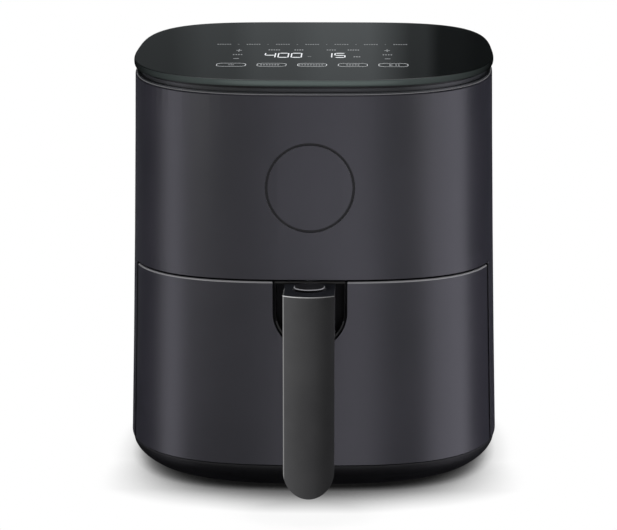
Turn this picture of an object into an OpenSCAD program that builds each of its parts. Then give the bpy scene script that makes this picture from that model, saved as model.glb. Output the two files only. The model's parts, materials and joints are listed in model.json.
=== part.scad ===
// Air fryer: a tapered housing with a tilted glass top, a hot chamber with its fan and heater,
// and a drawer that carries the pan, the crisper plate and a handle with a push-button latch.

/* [Body] */
// Width of the body at its widest, just above the base
body_w = 285; // [238:1:345]
// Depth of the body at its widest, without the handle
body_d = 310; // [258:1:375]
// Height of the body's top edge above the floor, at mid depth
body_h = 299.5; // [290:0.5:360]
// How far each flank leans in from the base to the top edge
flank_lean = 6.2; // [0:0.1:9]
// How far the flanks bow in below that straight line
flank_bow = 1.9; // [0:0.1:3]
// Wall of the outer shell
shell_wall = 2.4; // [1.6:0.1:3.2]
// Squareness of the front corners, seen across the width
front_square_w = 3.04; // [2.6:0.02:4]
// Squareness of the front corners, seen along the depth
front_square_d = 2.74; // [2.6:0.02:4]
// Squareness of the rear corners, seen across the width
rear_square_w = 4.33; // [3:0.02:5]
// Squareness of the rear corners, seen along the depth
rear_square_d = 3.03; // [2.6:0.02:4]

/* [Top] */
// Bevel along the body's top edge
top_bevel = 1.1; // [0.5:0.1:1.4]
// Slope of the top towards the front, in degrees
top_tilt = 3.8; // [0:0.1:6]
// Height of the dark recess under the glass
recess_h = 5.7; // [4:0.1:8]
// How far the recess steps in from the body
recess_in = 4; // [3.2:0.1:6]
// Thickness of the glass
glass_t = 4.8; // [3:0.1:6]
// How far the glass stands out past the body's top edge
glass_overhang = 0.9; // [0:0.1:1.5]
// Place of the display in front of the body's middle
display_y = -34; // [-50:1:-20]

/* [Base] */
// Height of the base's rim above the floor
base_h = 18.6; // [16:0.1:24]
// Height of the straight lip at the rim
lip_h = 2.5; // [1.5:0.1:4]
// How far the base tucks in from the lip down to its floor
base_tuck = 9; // [5:0.1:14]
// Squareness of the base's outline at the floor
base_square = 2.6; // [2.4:0.02:3.2]
// Wall of the base
base_wall = 2.4; // [1.8:0.1:3]
// Height of the feet under the base
foot_h = 2.5; // [1.5:0.1:4]
// Radius of a foot
foot_r = 11; // [8:0.5:14]

/* [Drawer] */
// Height of the seam between the drawer front and the body
seam_h = 155.6; // [128:0.1:160]
// Width of the seam
seam_gap = 1.4; // [1:0.1:2.4]
// Radius of the rounded edge under the seam
front_edge = 1.3; // [0.4:0.1:1.4]
// How far the drawer front wraps back along the flanks
front_wrap = 83; // [70:1:95]
// Room between the body's flank and the pan's rim
pan_side_room = 36; // [33:0.5:40]
// Room between the body's front and the pan's rim
pan_front_room = 20; // [19:0.5:26]
// Room between the pan's rim and the body's rear
pan_rear_room = 77; // [70:1:90]
// How far the pan's rim lies below the seam
pan_rim_drop = 7; // [5:0.5:12]
// Wall of the pan
pan_wall = 1.2; // [0.8:0.1:2]
// Width of the pan's rim flange
pan_flange = 5; // [4:0.5:6]
// Corner radius of the pan's rim, as a share of the body's width
pan_corner_share = 0.13; // [0.115:0.005:0.165]
// Height of the runners that carry the pan
runner_h = 8; // [6:0.5:12]
// Height of the crisper plate above the pan's floor
crisper_h = 13; // [10:0.5:20]
// Radius of a hole in the crisper plate
crisper_hole_r = 3; // [2:0.1:4]
// Distance between the holes in the crisper plate
crisper_pitch = 18; // [15:0.5:24]

/* [Handle] */
// Width of the handle
handle_w = 36.4; // [30:0.1:42]
// How far the handle stands out past the body's widest front
handle_reach = 44.3; // [40:0.1:50]
// Thickness of the grip, from front to back
grip_t = 18; // [16:0.5:22]
// How far the grip's front face bows out
grip_bow = 6.6; // [2:0.1:7]
// Height of the handle's top below the seam
handle_top_drop = 2.6; // [2.4:0.1:4]
// Height of the grip's lower end above the floor
handle_bottom = 6.5; // [3:0.5:20]
// Height of the arm that joins the grip to the drawer
arm_h = 36; // [34:0.5:40]
// Wall of the handle's shells
handle_wall = 2.6; // [2:0.1:3]
// Width of the notch round the handle
notch_w = 54; // [50:0.5:62]
// Gap between the notch and the pocket in it
notch_gap = 1.5; // [0.8:0.1:2]
// Depth of the notch below the seam
notch_h = 50.5; // [46:0.5:56]
// Width of the button, as a share of the handle's width
button_share = 0.605; // [0.5:0.005:0.63]
// Length of the button
button_l = 27; // [24:0.5:29]
// Gap round the button
button_gap = 1; // [0.6:0.1:1.5]
// Extra gap in front of the button
button_nose_gap = 1.2; // [0:0.1:1.3]
// How far the button stands out of the handle
button_rise = 1.8; // [1.5:0.1:3]

/* [Badge] */
// Height of the badge ring's centre
badge_h = 222.8; // [210:0.2:235]
// Middle radius of the badge ring
badge_r = 31.4; // [24:0.2:36]
// Width of the badge ring
badge_ring_w = 1.9; // [1.2:0.1:3]

/* [Hot side] */
// Height of the hot chamber above its deck
chamber_h = 46; // [42:1:52]
// Thickness of the sheet metal
sheet_t = 1.2; // [0.8:0.1:1.6]
// Radius of the heater tube
heater_r = 3.25; // [2.5:0.05:4]
// Distance between the turns of the heater
heater_pitch = 13; // [11:0.5:15]
// Radius of the fan shaft
shaft_r = 4; // [3:0.1:5]
// Radial running clearance of the shaft
shaft_fit = 0.05; // [0.02:0.01:0.1]
// Number of blades on the hot fan
hot_blades = 10; // [8:1:12]
// Number of blades on the cooling fan
cool_blades = 7; // [5:1:9]
// Radius of the power cord that the gland takes
cord_r = 3.75; // [3:0.05:4.5]

/* [Hidden] */
$fn = 64;

// Colours
body_paint = "#403f46";
black_plastic = "#131315";
glass_black = "#1d2424";
grip_grey = "#3b3b3d";
nonstick = "#26262a";
steel = "#b9bcc0";
sheet_steel = "#8f9398";
copper = "#b4743c";
board_green = "#1f5a3a";
rubber = "#1c1c1c";
ceramic = "#e6e1d6";

// Steps in the swept and lofted surfaces
plan_steps = 96;
corner_steps = 8;
fillet_steps = 4;
flank_levels = 4;
far = 400;

// Clearances
slack = 0.3;       // between pieces that only lie near each other
screw_slack = 0.1; // round the shank of a screw

// Heights
body_top_max = body_h + 30;
drawer_low = base_h + 0.8;
drawer_top = seam_h - seam_gap / 2;
deck_low = seam_h + seam_gap / 2;
deck_t = 2.5;
deck_top = deck_low + deck_t;
chamber_top = deck_top + chamber_h;
pan_rim = seam_h - pan_rim_drop;
pan_low = base_h + runner_h + slack;
pan_floor = pan_low + pan_wall;
bay_floor_t = 2.4;

// Depths, measured from the middle of the body, with the front at minus Y
body_y = handle_reach / 2;
split_y = -body_d / 2 + front_wrap;
pan_front = -body_d / 2 + pan_front_room;
pan_rear = body_d / 2 - pan_rear_room;
pan_l = pan_rear - pan_front;
pan_y = (pan_rear + pan_front) / 2;
pan_w = body_w - 2 * pan_side_room;
pan_corner = body_w * pan_corner_share;

// Outline of the body
function lean_in(z) =
    let (t = (z - base_h) / (body_h - base_h)) flank_lean * t + flank_bow * t * (1 - t);
function half_depth(z) = body_d / 2 - lean_in(z);
function signed_power(v, e) = sign(v) * pow(abs(v), e);
function oval(hw, hd, fw, fd, rw, rd) =
    [for (i = [0 : plan_steps - 1])
        let (u = 360 * i / plan_steps, front = sin(u) < 0)
        [hw * signed_power(cos(u), 2 / (front ? fw : rw)),
         hd * signed_power(sin(u), 2 / (front ? fd : rd))]];
function body_plan(z, inset) =
    oval(body_w / 2 - lean_in(z) - inset, half_depth(z) - inset,
         front_square_w, front_square_d, rear_square_w, rear_square_d);
function at_height(points, z) = [for (p = points) [p[0], p[1], z]];
function body_ring(z, inset) = at_height(body_plan(z, inset), z);
// Half the body's width at a depth and a height
function flank_at(y, z, inset) =
    let (hw = body_w / 2 - lean_in(z) - inset, hd = half_depth(z) - inset, front = y < 0)
        hw * pow(1 - pow(abs(y) / hd, front ? front_square_d : rear_square_d),
                 1 / (front ? front_square_w : rear_square_w));
function levels(low, high, count) = [for (k = [0 : count]) low + (high - low) * k / count];

function top_plan(inset) =
    oval(body_w / 2 - lean_in(body_h) - inset, (half_depth(body_h) - inset) / cos(top_tilt),
         front_square_w, front_square_d, rear_square_w, rear_square_d);

// Outline of a rectangle with round corners, anticlockwise
function arc(cx, cy, r, from, steps) =
    [for (k = [0 : steps]) let (a = from + 90 * k / steps) [cx + r * cos(a), cy + r * sin(a)]];
function round_rect(w, d, r, steps = corner_steps) =
    concat(arc(w / 2 - r, d / 2 - r, r, 0, steps), arc(r - w / 2, d / 2 - r, r, 90, steps),
           arc(r - w / 2, r - d / 2, r, 180, steps), arc(w / 2 - r, r - d / 2, r, 270, steps));
function moved(points, y) = [for (p = points) [p[0], p[1] + y]];

// A skin over rings of points: capped at both ends, or closed from the last ring to the first
module lofted(rings, closed = false) {
    n = len(rings[0]);
    bands = closed ? len(rings) : len(rings) - 1;
    sides = [for (k = [0 : bands - 1], i = [0 : n - 1])
        let (m = (k + 1) % len(rings), j = (i + 1) % n) [k * n + i, m * n + i, m * n + j, k * n + j]];
    caps = closed ? [] : [[for (i = [0 : n - 1]) i],
                          [for (i = [n - 1 : -1 : 0]) (len(rings) - 1) * n + i]];
    polyhedron([for (r = rings) each r], concat(sides, caps), convexity = 10);
}

module body_core(low, high, inset) {
    lofted([for (z = [low, high]) body_ring(z, inset)]);
}

module body_wall(low, high, inset, wall) {
    lofted(concat([for (z = levels(low, high, flank_levels)) body_ring(z, inset)],
                  [for (z = levels(high, low, flank_levels)) body_ring(z, inset + wall)]), true);
}

// Places a piece that is drawn about the middle of the body
module placed() {
    translate([0, body_y, 0]) children();
}

// The sloping frame of the top: its floor is the body's top edge
module on_top() {
    translate([0, 0, body_h]) rotate([top_tilt, 0, 0]) children();
}

// Extrudes an outline of Y and Z points across the width
module across(width) {
    rotate([90, 0, 90]) linear_extrude(width, center = true) children();
}

// A cylinder whose axis runs from front to rear, starting at y
module along_y(y, length, r) {
    translate([0, y, 0]) rotate([-90, 0, 0]) cylinder(length, r, r);
}

module slab(w, d, z, t) {
    translate([-w / 2, -d / 2, z]) cube([w, d, t]);
}

// ---- Shell ----

badge_lean = atan((lean_in(badge_h + 1) - lean_in(badge_h - 1)) / 2);
badge_pad = 2;
badge_depth = 1.9;
vent_w = 96;
vent_h = 34;
vent_frame = 5;
vent_t = 2;
vent_slots = 6;
duct_h = vent_h + 6;
vent_z = deck_top + duct_h / 2;
vent_lean = atan((lean_in(vent_z + 1) - lean_in(vent_z - 1)) / 2);
vent_screw_r = 1.5;
gland_x = -45;
gland_z = 72;
gland_r = 8;

// Puts a piece on the front at the badge, with minus Z pointing out of the body
module at_badge() {
    translate([0, -half_depth(badge_h), badge_h]) rotate([-90 - badge_lean, 0, 0]) children();
}

// Puts a piece on the rear at the vent, with Z pointing out of the body
module at_vent() {
    translate([0, half_depth(vent_z), vent_z]) rotate([-90 + vent_lean, 0, 0]) children();
}

module vent_screw_places(r, length) {
    for (side = [-1, 1])
        translate([side * (vent_w / 2 + vent_frame / 2), 0, -length]) cylinder(length, r, r);
}

module outer_shell() color(body_paint) placed() difference() {
    union() {
        body_wall(base_h, body_top_max, 0, shell_wall);
        at_badge() translate([0, 0, shell_wall * 0.6]) cylinder(badge_pad + 1, badge_r + 5, badge_r + 5);
    }
    on_top() slab(far, far, 0, far);
    on_top() difference() {
        slab(far, far, -top_bevel - 1, top_bevel + 2);
        lofted([for (z = [-top_bevel - 1.5, 1.5]) at_height(top_plan(top_bevel + z), z)]);
    }
    translate([-far / 2, split_y + seam_gap / 2 - far, 0]) cube([far, far, deck_low]);
    at_badge() translate([0, 0, -badge_depth]) difference() {
        cylinder(2 * badge_depth, badge_r + badge_ring_w / 2, badge_r + badge_ring_w / 2);
        cylinder(far, badge_r - badge_ring_w / 2, badge_r - badge_ring_w / 2, center = true);
    }
    at_vent() linear_extrude(20, center = true) polygon(round_rect(vent_w, vent_h, 5));
    at_vent() vent_screw_places(vent_screw_r + screw_slack, 10);
    translate([gland_x, 0, gland_z]) along_y(0, far, gland_r);
}

module badge_ring() color(black_plastic) placed() at_badge() difference() {
    ring_out = badge_r + badge_ring_w / 2 - screw_slack;
    ring_in = badge_r - badge_ring_w / 2 + screw_slack;
    translate([0, 0, 0.9]) cylinder(badge_depth - 0.9, ring_out, ring_out);
    cylinder(far, ring_in, ring_in, center = true);
}

// ---- Base ----

base_floor = foot_h;
foot_sink = 1.2;
foot_x = body_w / 2 - 58;
foot_y = body_d / 2 - 62;
post_x = body_w / 2 - 34;
post_y = body_d / 2 - 90;
base_screw_r = 2;
base_lip_in = 0.8;

// The base tucks in along a curve from its lip to its floor, and grows rounder
function tuck(z) = pow(max(0, base_h - lip_h - z) / (base_h - lip_h - base_floor), 1.7);
function blend(a, b, t) = a + (b - a) * t;
function base_ring(z, inset) =
    let (t = tuck(z), in = base_lip_in + base_tuck * t + inset)
    at_height(oval(body_w / 2 - in, body_d / 2 - in,
                   blend(front_square_w, base_square, t), blend(front_square_d, base_square, t),
                   blend(rear_square_w, base_square, t), blend(rear_square_d, base_square, t)), z);

module four_places(x, y) {
    for (sx = [-1, 1], sy = [-1, 1]) translate([sx * x, sy * y, 0]) children();
}

module base_tray() color(black_plastic) placed() difference() {
    union() {
        lofted(concat([for (z = levels(base_floor, base_h - lip_h, 5)) base_ring(z, 0)],
                      [base_ring(base_h, 0), base_ring(base_h, base_wall)],
                      [for (z = levels(base_h - lip_h, base_floor + base_wall, 2))
                          base_ring(z, base_wall)]));
        four_places(post_x, post_y) translate([0, 0, base_floor]) cylinder(base_h - bay_floor_t - base_floor, 6, 6);
    }
    four_places(foot_x, foot_y) cylinder(base_floor + foot_sink, foot_r + screw_slack, foot_r + screw_slack);
    four_places(post_x, post_y) cylinder(base_floor + 4, 4.2, 4.2);
    four_places(post_x, post_y) cylinder(far, base_screw_r + screw_slack, base_screw_r + screw_slack);
    for (k = [-4 : 4]) translate([k * 10 - 2, -24, 0]) cube([4, 48, base_floor + base_wall + 1]);
}

module feet() color(rubber) placed() four_places(foot_x, foot_y) {
    cylinder(1, foot_r - 1, foot_r);
    translate([0, 0, 1]) cylinder(base_floor + foot_sink - 1, foot_r, foot_r);
}

module base_screws() color(steel) placed() four_places(post_x, post_y) difference() {
    union() {
        translate([0, 0, base_floor + 1.8]) cylinder(2.2, 3.8, 3.8);
        translate([0, 0, base_floor + 4]) cylinder(base_h - base_floor - 4, base_screw_r, base_screw_r);
    }
    translate([0, 0, base_floor + 1.8]) cylinder(1.2, 1.6, 1.6, $fn = 6);
}

// ---- Drawer bay ----

bay_wall = 1.5;
bay_room = 3.5;
bay_w = pan_w + 2 * bay_room;
bay_rear = pan_rear + bay_room;
runner_x = pan_w / 2 - 36;

module bay_floor() color(black_plastic) placed() difference() {
    union() {
        translate([0, 0, base_h - bay_floor_t])
            linear_extrude(bay_floor_t) polygon([for (p = base_ring(base_h - lip_h, base_wall + slack)) [p[0], p[1]]]);
        for (side = [-1, 1])
            translate([side * runner_x - 3, pan_front + 40, base_h - 1]) cube([6, pan_l - 50, runner_h + 1]);
    }
    four_places(post_x, post_y) cylinder(far, base_screw_r + screw_slack, base_screw_r + screw_slack);
    for (k = [-4 : 4]) translate([k * 10 - 2, -24, 0]) cube([4, 48, far / 8]);
}

module bay_liner() color(sheet_steel) placed() difference() {
    union() {
        translate([-bay_w / 2 - bay_wall, split_y + seam_gap / 2, base_h])
            cube([bay_w + 2 * bay_wall, bay_rear + bay_wall - split_y - seam_gap / 2, deck_low - base_h]);
        for (z = [base_h, deck_low - bay_wall])
            translate([-bay_w / 2 - 9, split_y + 10, z]) cube([bay_w + 18, bay_rear + 9 - split_y - 10, bay_wall]);
    }
    translate([-bay_w / 2, split_y - 1, 0]) cube([bay_w, bay_rear - split_y + 1, far]);
}

module bay_bezel() color(black_plastic) placed() difference() {
    intersection() {
        body_core(base_h, deck_low, shell_wall + slack);
        translate([-far / 2, split_y + seam_gap / 2, 0]) cube([far, bay_wall + 1, far]);
    }
    translate([-bay_w / 2 - bay_wall - slack, split_y - 1, 0]) cube([bay_w + 2 * (bay_wall + slack), 10, far]);
}

// ---- Deck and hot chamber ----

chamber_r = min(pan_w, pan_l) / 2 - 2.5;
chamber_round = 10;
chamber_flange = 8;
catch_y0 = -body_d / 2 + 10.6;
catch_l = 7.4;
nose_w = 8;
switch_w = 8;
switch_l = 20;
switch_h = 10;
switch_room = 1.9;
switch_y = split_y - 8;
switch_x = flank_at(switch_y - switch_l / 2, deck_top + switch_h, shell_wall) - switch_w / 2 - switch_room;
plunger_r = 1.5;

module upper_deck() color(sheet_steel) placed() difference() {
    translate([0, 0, deck_low]) linear_extrude(deck_t) polygon(body_plan(deck_top, shell_wall + slack));
    translate([0, pan_y, 0]) cylinder(far, chamber_r, chamber_r);
    translate([-nose_w / 2 - 1, catch_y0, 0]) cube([nose_w + 2, catch_l, far]);
    translate([switch_x, switch_y, 0]) cylinder(far, plunger_r + 1, plunger_r + 1);
}

// Half section of the chamber's skin, out to a given offset
module dish(r, top, round) {
    translate([0, deck_top]) square([r, top - deck_top - round]);
    translate([0, deck_top]) square([r - round, top - deck_top]);
    translate([r - round, top - round]) circle(round);
}

leg_place = chamber_r / 2;
leg_r = 4.5;
probe_place = chamber_r * [-0.72, -0.23];
cutout_place = chamber_r * [0.69, -0.25];

module around_fan(places) {
    for (p = places) translate([p[0], pan_y + p[1], 0]) children();
}

module heat_chamber() color(sheet_steel) placed() difference() {
    translate([0, pan_y, 0]) rotate_extrude() difference() {
        union() {
            dish(chamber_r + sheet_t, chamber_top, chamber_round + sheet_t);
            translate([0, deck_top]) square([chamber_r + chamber_flange, sheet_t]);
        }
        dish(chamber_r, chamber_top - sheet_t, chamber_round);
        translate([0, deck_top - 1]) square([chamber_r, 2]);
    }
    translate([0, pan_y, chamber_top - 5]) cylinder(10, shaft_r + 3, shaft_r + 3);
    around_fan(heater_posts) cylinder(far, bushing_r + screw_slack, bushing_r + screw_slack);
    around_fan([probe_place]) cylinder(far, 2 + screw_slack, 2 + screw_slack);
    translate([-vent_w / 2 + 4, pan_y, deck_top + 5]) cube([vent_w - 8, far, duct_h - 10]);
}

// ---- Heater ----

heater_z = deck_top + 17;
heater_out = chamber_r - 16;
heater_in = heater_out - 2 * heater_pitch;
heater_bend = 8;
bushing_r = 5;
heater_posts = [[heater_bend, heater_out], [-heater_bend, heater_in]];
post_top = chamber_top + 12;
guard_z = deck_top + 5.5;
guard_r = 1.4;
guard_rings = [30, heater_in, chamber_r - 10];

// A quarter bend from the end of a turn, then a straight post up through the chamber
module heater_post() {
    translate([0, 0, heater_bend]) rotate([90, 0, 90]) rotate([0, 0, -90])
        rotate_extrude(angle = 90) translate([heater_bend, 0]) circle(heater_r);
    translate([0, heater_bend, heater_bend])
        cylinder(post_top - heater_z - heater_bend, heater_r, heater_r);
}

// Each half turn is smaller by half a pitch, and its centre moves to meet the last one
module heater_coil() color("#5c5a58") placed() translate([0, pan_y, heater_z]) rotate([0, 0, 90]) {
    for (k = [0 : 3])
        translate([k % 2 == 0 ? 0 : -heater_pitch / 2, 0, 0]) rotate([0, 0, 180 * k])
            rotate_extrude(angle = 180) translate([heater_out - k * heater_pitch / 2, 0]) circle(heater_r);
    translate([heater_out, 0, 0]) mirror([0, 1, 0]) heater_post();
    translate([heater_in, 0, 0]) heater_post();
}

module heater_bushings() color(ceramic) placed() around_fan(heater_posts) difference() {
    union() {
        translate([0, 0, chamber_top - sheet_t - 2]) cylinder(9, bushing_r, bushing_r);
        translate([0, 0, chamber_top]) cylinder(2, bushing_r + 2, bushing_r + 2);
    }
    cylinder(far, heater_r + screw_slack, heater_r + screw_slack);
}

// Welded wire: rings with the spokes laid across their upper side
module heater_guard() color(steel) placed() translate([0, pan_y, guard_z]) {
    for (r = guard_rings) rotate_extrude() translate([r, 0]) circle(guard_r);
    for (k = [0 : 5])
        rotate([0, 90, 60 * k]) translate([-guard_r * 1.2, 0, guard_rings[0] - 3])
            cylinder(chamber_r - slack - guard_rings[0] + 3, guard_r, guard_r);
}

module temperature_probe() color(steel) placed() around_fan([probe_place]) {
    translate([0, 0, chamber_top - 18]) cylinder(30, 2, 2);
    translate([0, 0, chamber_top]) cylinder(2, 5, 5);
}

module thermal_cutout() color(ceramic) placed() around_fan([cutout_place]) {
    translate([0, 0, chamber_top]) cylinder(8, 8, 8);
    translate([0, 0, chamber_top]) linear_extrude(sheet_t) polygon(round_rect(26, 8, 3));
}

// ---- Exhaust ----

duct_rear = half_depth(deck_top + duct_h) - shell_wall - 1;
duct_w = vent_w;

module exhaust_duct() color(sheet_steel) placed() difference() {
    translate([-duct_w / 2, pan_y, deck_top]) cube([duct_w, duct_rear - pan_y, duct_h]);
    translate([-duct_w / 2 + sheet_t, pan_y - 1, deck_top + sheet_t])
        cube([duct_w - 2 * sheet_t, far, duct_h - 2 * sheet_t]);
    translate([0, pan_y, 0]) cylinder(far, chamber_r + sheet_t + slack, chamber_r + sheet_t + slack);
    translate([0, pan_y, 0])
        cylinder(deck_top + sheet_t + slack, chamber_r + chamber_flange + slack, chamber_r + chamber_flange + slack);
}

// A frame with a neck that fills the opening, and bars between its slots
module rear_vent() color(black_plastic) placed() at_vent() difference() {
    union() {
        translate([0, 0, 0.1]) linear_extrude(vent_t)
            polygon(round_rect(vent_w + 4 * vent_frame, vent_h + 2 * vent_frame, 8));
        translate([0, 0, -3]) linear_extrude(4) polygon(round_rect(vent_w - 2 * slack, vent_h - 2 * slack, 5));
    }
    pitch = vent_h / vent_slots;
    for (k = [0 : vent_slots - 1])
        translate([-vent_w / 2 + 4, (k + 0.5) * pitch - vent_h / 2 - pitch * 0.3, -5])
            cube([vent_w - 8, pitch * 0.6, 20]);
    translate([0, 0, 5]) vent_screw_places(vent_screw_r + screw_slack, 20);
}

module vent_screws() color(steel) placed() at_vent() {
    translate([0, 0, vent_t + 0.1 + 1.2]) vent_screw_places(vent_screw_r * 1.9, 1.2);
    translate([0, 0, vent_t + 0.1]) vent_screw_places(vent_screw_r, 8);
}

// ---- Motor and fans ----

bracket_low = chamber_top + 20;
bracket_t = 2;
spacer_h = 6;
stator_low = bracket_low + bracket_t + spacer_h;
stator_h = 22;
stator_top = stator_low + stator_h;
stator_w = 64;
stator_bore = 17;
cap_low = stator_top + 8;
cap_t = 2.5;
motor_bolt = 25;
winding_r = 3.2;
motor_screw_r = 1.75;
shaft_low = chamber_top - sheet_t - 20;
shaft_high = cap_low + cap_t + 4;
hot_fan_r = heater_in - heater_r - 6.75;
hot_fan_top = chamber_top - sheet_t - 4;
hot_blade_h = 12;
cool_fan_r = hot_fan_r - 2;
cool_fan_low = chamber_top + 6;
cool_fan_h = 9;
hub_r = 9;
nut_h = 4;

module fan_axis() placed() {
    translate([0, pan_y, 0]) children();
}

module motor_bracket() color(sheet_steel) fan_axis() difference() {
    union() {
        translate([0, 0, bracket_low]) linear_extrude(bracket_t)
            polygon(round_rect(2 * leg_place + 16, 2 * leg_place + 16, 8));
        four_places(leg_place, leg_place) translate([0, 0, chamber_top])
            cylinder(bracket_low - chamber_top, leg_r, leg_r);
        four_places(motor_bolt, motor_bolt) translate([0, 0, bracket_low + bracket_t])
            cylinder(spacer_h, 4, 4);
        translate([0, 0, bracket_low]) cylinder(bracket_t + 4, 9, 9);
    }
    cylinder(far, shaft_r + shaft_fit, shaft_r + shaft_fit);
    four_places(motor_bolt, motor_bolt) cylinder(far, motor_screw_r + screw_slack, motor_screw_r + screw_slack);
    for (k = [0 : 3]) rotate([0, 0, 90 * k]) translate([leg_place - 22, -16, 0]) cube([22, 32, far]);
}

module motor_stator() color("#6d6f72") fan_axis() difference() {
    translate([0, 0, stator_low]) linear_extrude(stator_h) polygon(round_rect(stator_w, stator_w, 10));
    cylinder(far, stator_bore, stator_bore);
    four_places(motor_bolt, motor_bolt) cylinder(far, motor_screw_r + screw_slack, motor_screw_r + screw_slack);
    for (k = [0 : 3]) rotate([0, 0, 90 * k]) translate([stator_w / 2 - 5, -4, 0]) cube([10, 8, far]);
}

// The rounded ends of the windings, on both faces of the stator
module motor_winding() color(copper) fan_axis() {
    for (side = [-1, 1])
        translate([0, 0, side < 0 ? stator_low : stator_top]) mirror([0, 0, side < 0 ? 1 : 0])
            rotate_extrude() intersection() {
                translate([stator_bore + 5, winding_r - 1]) circle(winding_r);
                square([far, far]);
            }
}

module motor_rotor() color(steel) fan_axis() difference() {
    translate([0, 0, stator_low]) cylinder(stator_h, stator_bore - 0.4, stator_bore - 0.4);
    cylinder(far, shaft_r, shaft_r);
}

// A cross with a bearing at its middle, on four posts that stand on the stator
module motor_cap() color(sheet_steel) fan_axis() difference() {
    union() {
        for (turn = [45, 135]) rotate([0, 0, turn]) translate([0, 0, cap_low]) linear_extrude(cap_t)
            polygon(round_rect(2 * motor_bolt * sqrt(2) + 10, 12, 5.9));
        translate([0, 0, cap_low - 2]) cylinder(cap_t + 2, 9.5, 9.5);
        four_places(motor_bolt, motor_bolt) translate([0, 0, stator_top])
            cylinder(cap_low + cap_t - stator_top, 3.5, 3.5);
    }
    cylinder(far, shaft_r + shaft_fit, shaft_r + shaft_fit);
    four_places(motor_bolt, motor_bolt) cylinder(far, motor_screw_r + screw_slack, motor_screw_r + screw_slack);
}

module motor_screws() color(steel) fan_axis() four_places(motor_bolt, motor_bolt) {
    translate([0, 0, bracket_low - 2]) cylinder(cap_low + cap_t - bracket_low + 2, motor_screw_r, motor_screw_r);
    translate([0, 0, cap_low + cap_t]) cylinder(2, 3, 3);
}

module fan_shaft() color(steel) fan_axis() {
    translate([0, 0, shaft_low]) cylinder(shaft_high - shaft_low, shaft_r, shaft_r);
}

// A disc with curved blades under it
module convection_fan() color(steel) fan_axis() difference() {
    union() {
        translate([0, 0, hot_fan_top - sheet_t]) cylinder(sheet_t, hot_fan_r, hot_fan_r);
        translate([0, 0, hot_fan_top - sheet_t - 8]) cylinder(8 + sheet_t / 2, hub_r, hub_r);
        for (k = [0 : hot_blades - 1]) rotate([0, 0, 360 * k / hot_blades])
            translate([0, 0, hot_fan_top - sheet_t - hot_blade_h])
                linear_extrude(hot_blade_h + sheet_t / 2) intersection() {
                    translate([hot_fan_r * 0.62, -hot_fan_r * 0.42]) difference() {
                        circle(hot_fan_r * 0.52);
                        circle(hot_fan_r * 0.52 - sheet_t);
                    }
                    translate([hot_fan_r * 0.37, 0]) square([hot_fan_r * 0.59, hot_fan_r * 0.4]);
                }
    }
    cylinder(far, shaft_r, shaft_r);
}

// A hub with flat blades set at a pitch
module cooling_fan() color(black_plastic) fan_axis() difference() {
    union() {
        translate([0, 0, cool_fan_low]) cylinder(cool_fan_h, hub_r + 3, hub_r + 3);
        intersection() {
            translate([0, 0, cool_fan_low]) cylinder(cool_fan_h, cool_fan_r, cool_fan_r);
            for (k = [0 : cool_blades - 1]) rotate([0, 0, 360 * k / cool_blades])
                translate([hub_r, 0, cool_fan_low + cool_fan_h / 2]) rotate([32, 0, 0])
                    translate([0, -12, -0.8]) cube([cool_fan_r, 24, 1.6]);
        }
    }
    cylinder(far, shaft_r, shaft_r);
}

module fan_nut() color(steel) fan_axis() difference() {
    translate([0, 0, hot_fan_top - sheet_t - 8 - nut_h]) cylinder(nut_h, 7.5, 7.5, $fn = 6);
    cylinder(far, shaft_r, shaft_r);
}

// ---- Electrics ----

board_w = 56;
board_foot = 16;
board_room = 0.5;
board_h = 72;
board_t = 1.6;
board_y = body_d / 2 - 48;
board_low = deck_top + 8;
board_x = board_w / 2 + board_room - flank_at(board_y + board_foot, board_low + board_h, shell_wall);

module at_board() {
    translate([board_x, board_y, board_low]) children();
}

module power_board() color(board_green) placed() at_board()
    translate([-board_w / 2, 0, 0]) cube([board_w, board_t, board_h]);

// Relay, inductor, capacitors and terminal block on the front of the board
module board_parts() color("#2a3a55") placed() at_board() mirror([0, 1, 0]) {
    translate([-27, 0, 8]) cube([20, 15, 26]);
    translate([2, 0, 6]) cube([22, 12, 10]);
    translate([-16, 0, 52]) rotate([-90, 0, 0]) cylinder(16, 9, 9);
    translate([8, 0, 32]) rotate([-90, 0, 0]) cylinder(18, 6, 6);
    translate([20, 0, 48]) rotate([-90, 0, 0]) cylinder(14, 5, 5);
}

// A bent sheet: an upright behind the board and a foot on the deck
module board_bracket() color(sheet_steel) placed() at_board() across(board_w - 12) {
    low = deck_top - board_low;
    polygon([[board_t, low], [board_foot, low], [board_foot, low + sheet_t],
             [board_t + sheet_t, low + sheet_t], [board_t + sheet_t, board_h - 6], [board_t, board_h - 6]]);
}

module door_switch() color(black_plastic) placed() difference() {
    translate([switch_x - switch_w / 2, switch_y - switch_l / 2, deck_top]) cube([switch_w, switch_l, switch_h]);
    translate([switch_x, switch_y, deck_top - 1]) cylinder(switch_h - 0.5, plunger_r + shaft_fit, plunger_r + shaft_fit);
    for (y = [-6.5, 6.5]) translate([switch_x, switch_y + y, deck_top + 5]) rotate([0, 90, 0])
        cylinder(20, 1.2, 1.2, center = true);
}

module switch_plunger() color(rubber) placed() {
    translate([switch_x, switch_y, drawer_top + slack])
        cylinder(deck_top + switch_h - 4 - drawer_top, plunger_r, plunger_r);
}

module cord_gland() color(rubber) placed() translate([gland_x, 0, gland_z]) difference() {
    union() {
        along_y(half_depth(gland_z - gland_r - 3) + 0.05, 1.1, gland_r + 3);
        along_y(half_depth(gland_z) - 8, 8.5, gland_r - screw_slack);
    }
    along_y(0, far, cord_r);
}

// ---- Top ----

carrier_t = 2;
ring_wall = 2.4;
ring_drop = 9;
display_w = 92;
display_d = 34;
panel_board_t = 1.6;
panel_board_z = -2.5;

module top_plate(low, t, inset) {
    translate([0, 0, low]) linear_extrude(t) polygon(top_plan(inset));
}

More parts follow.
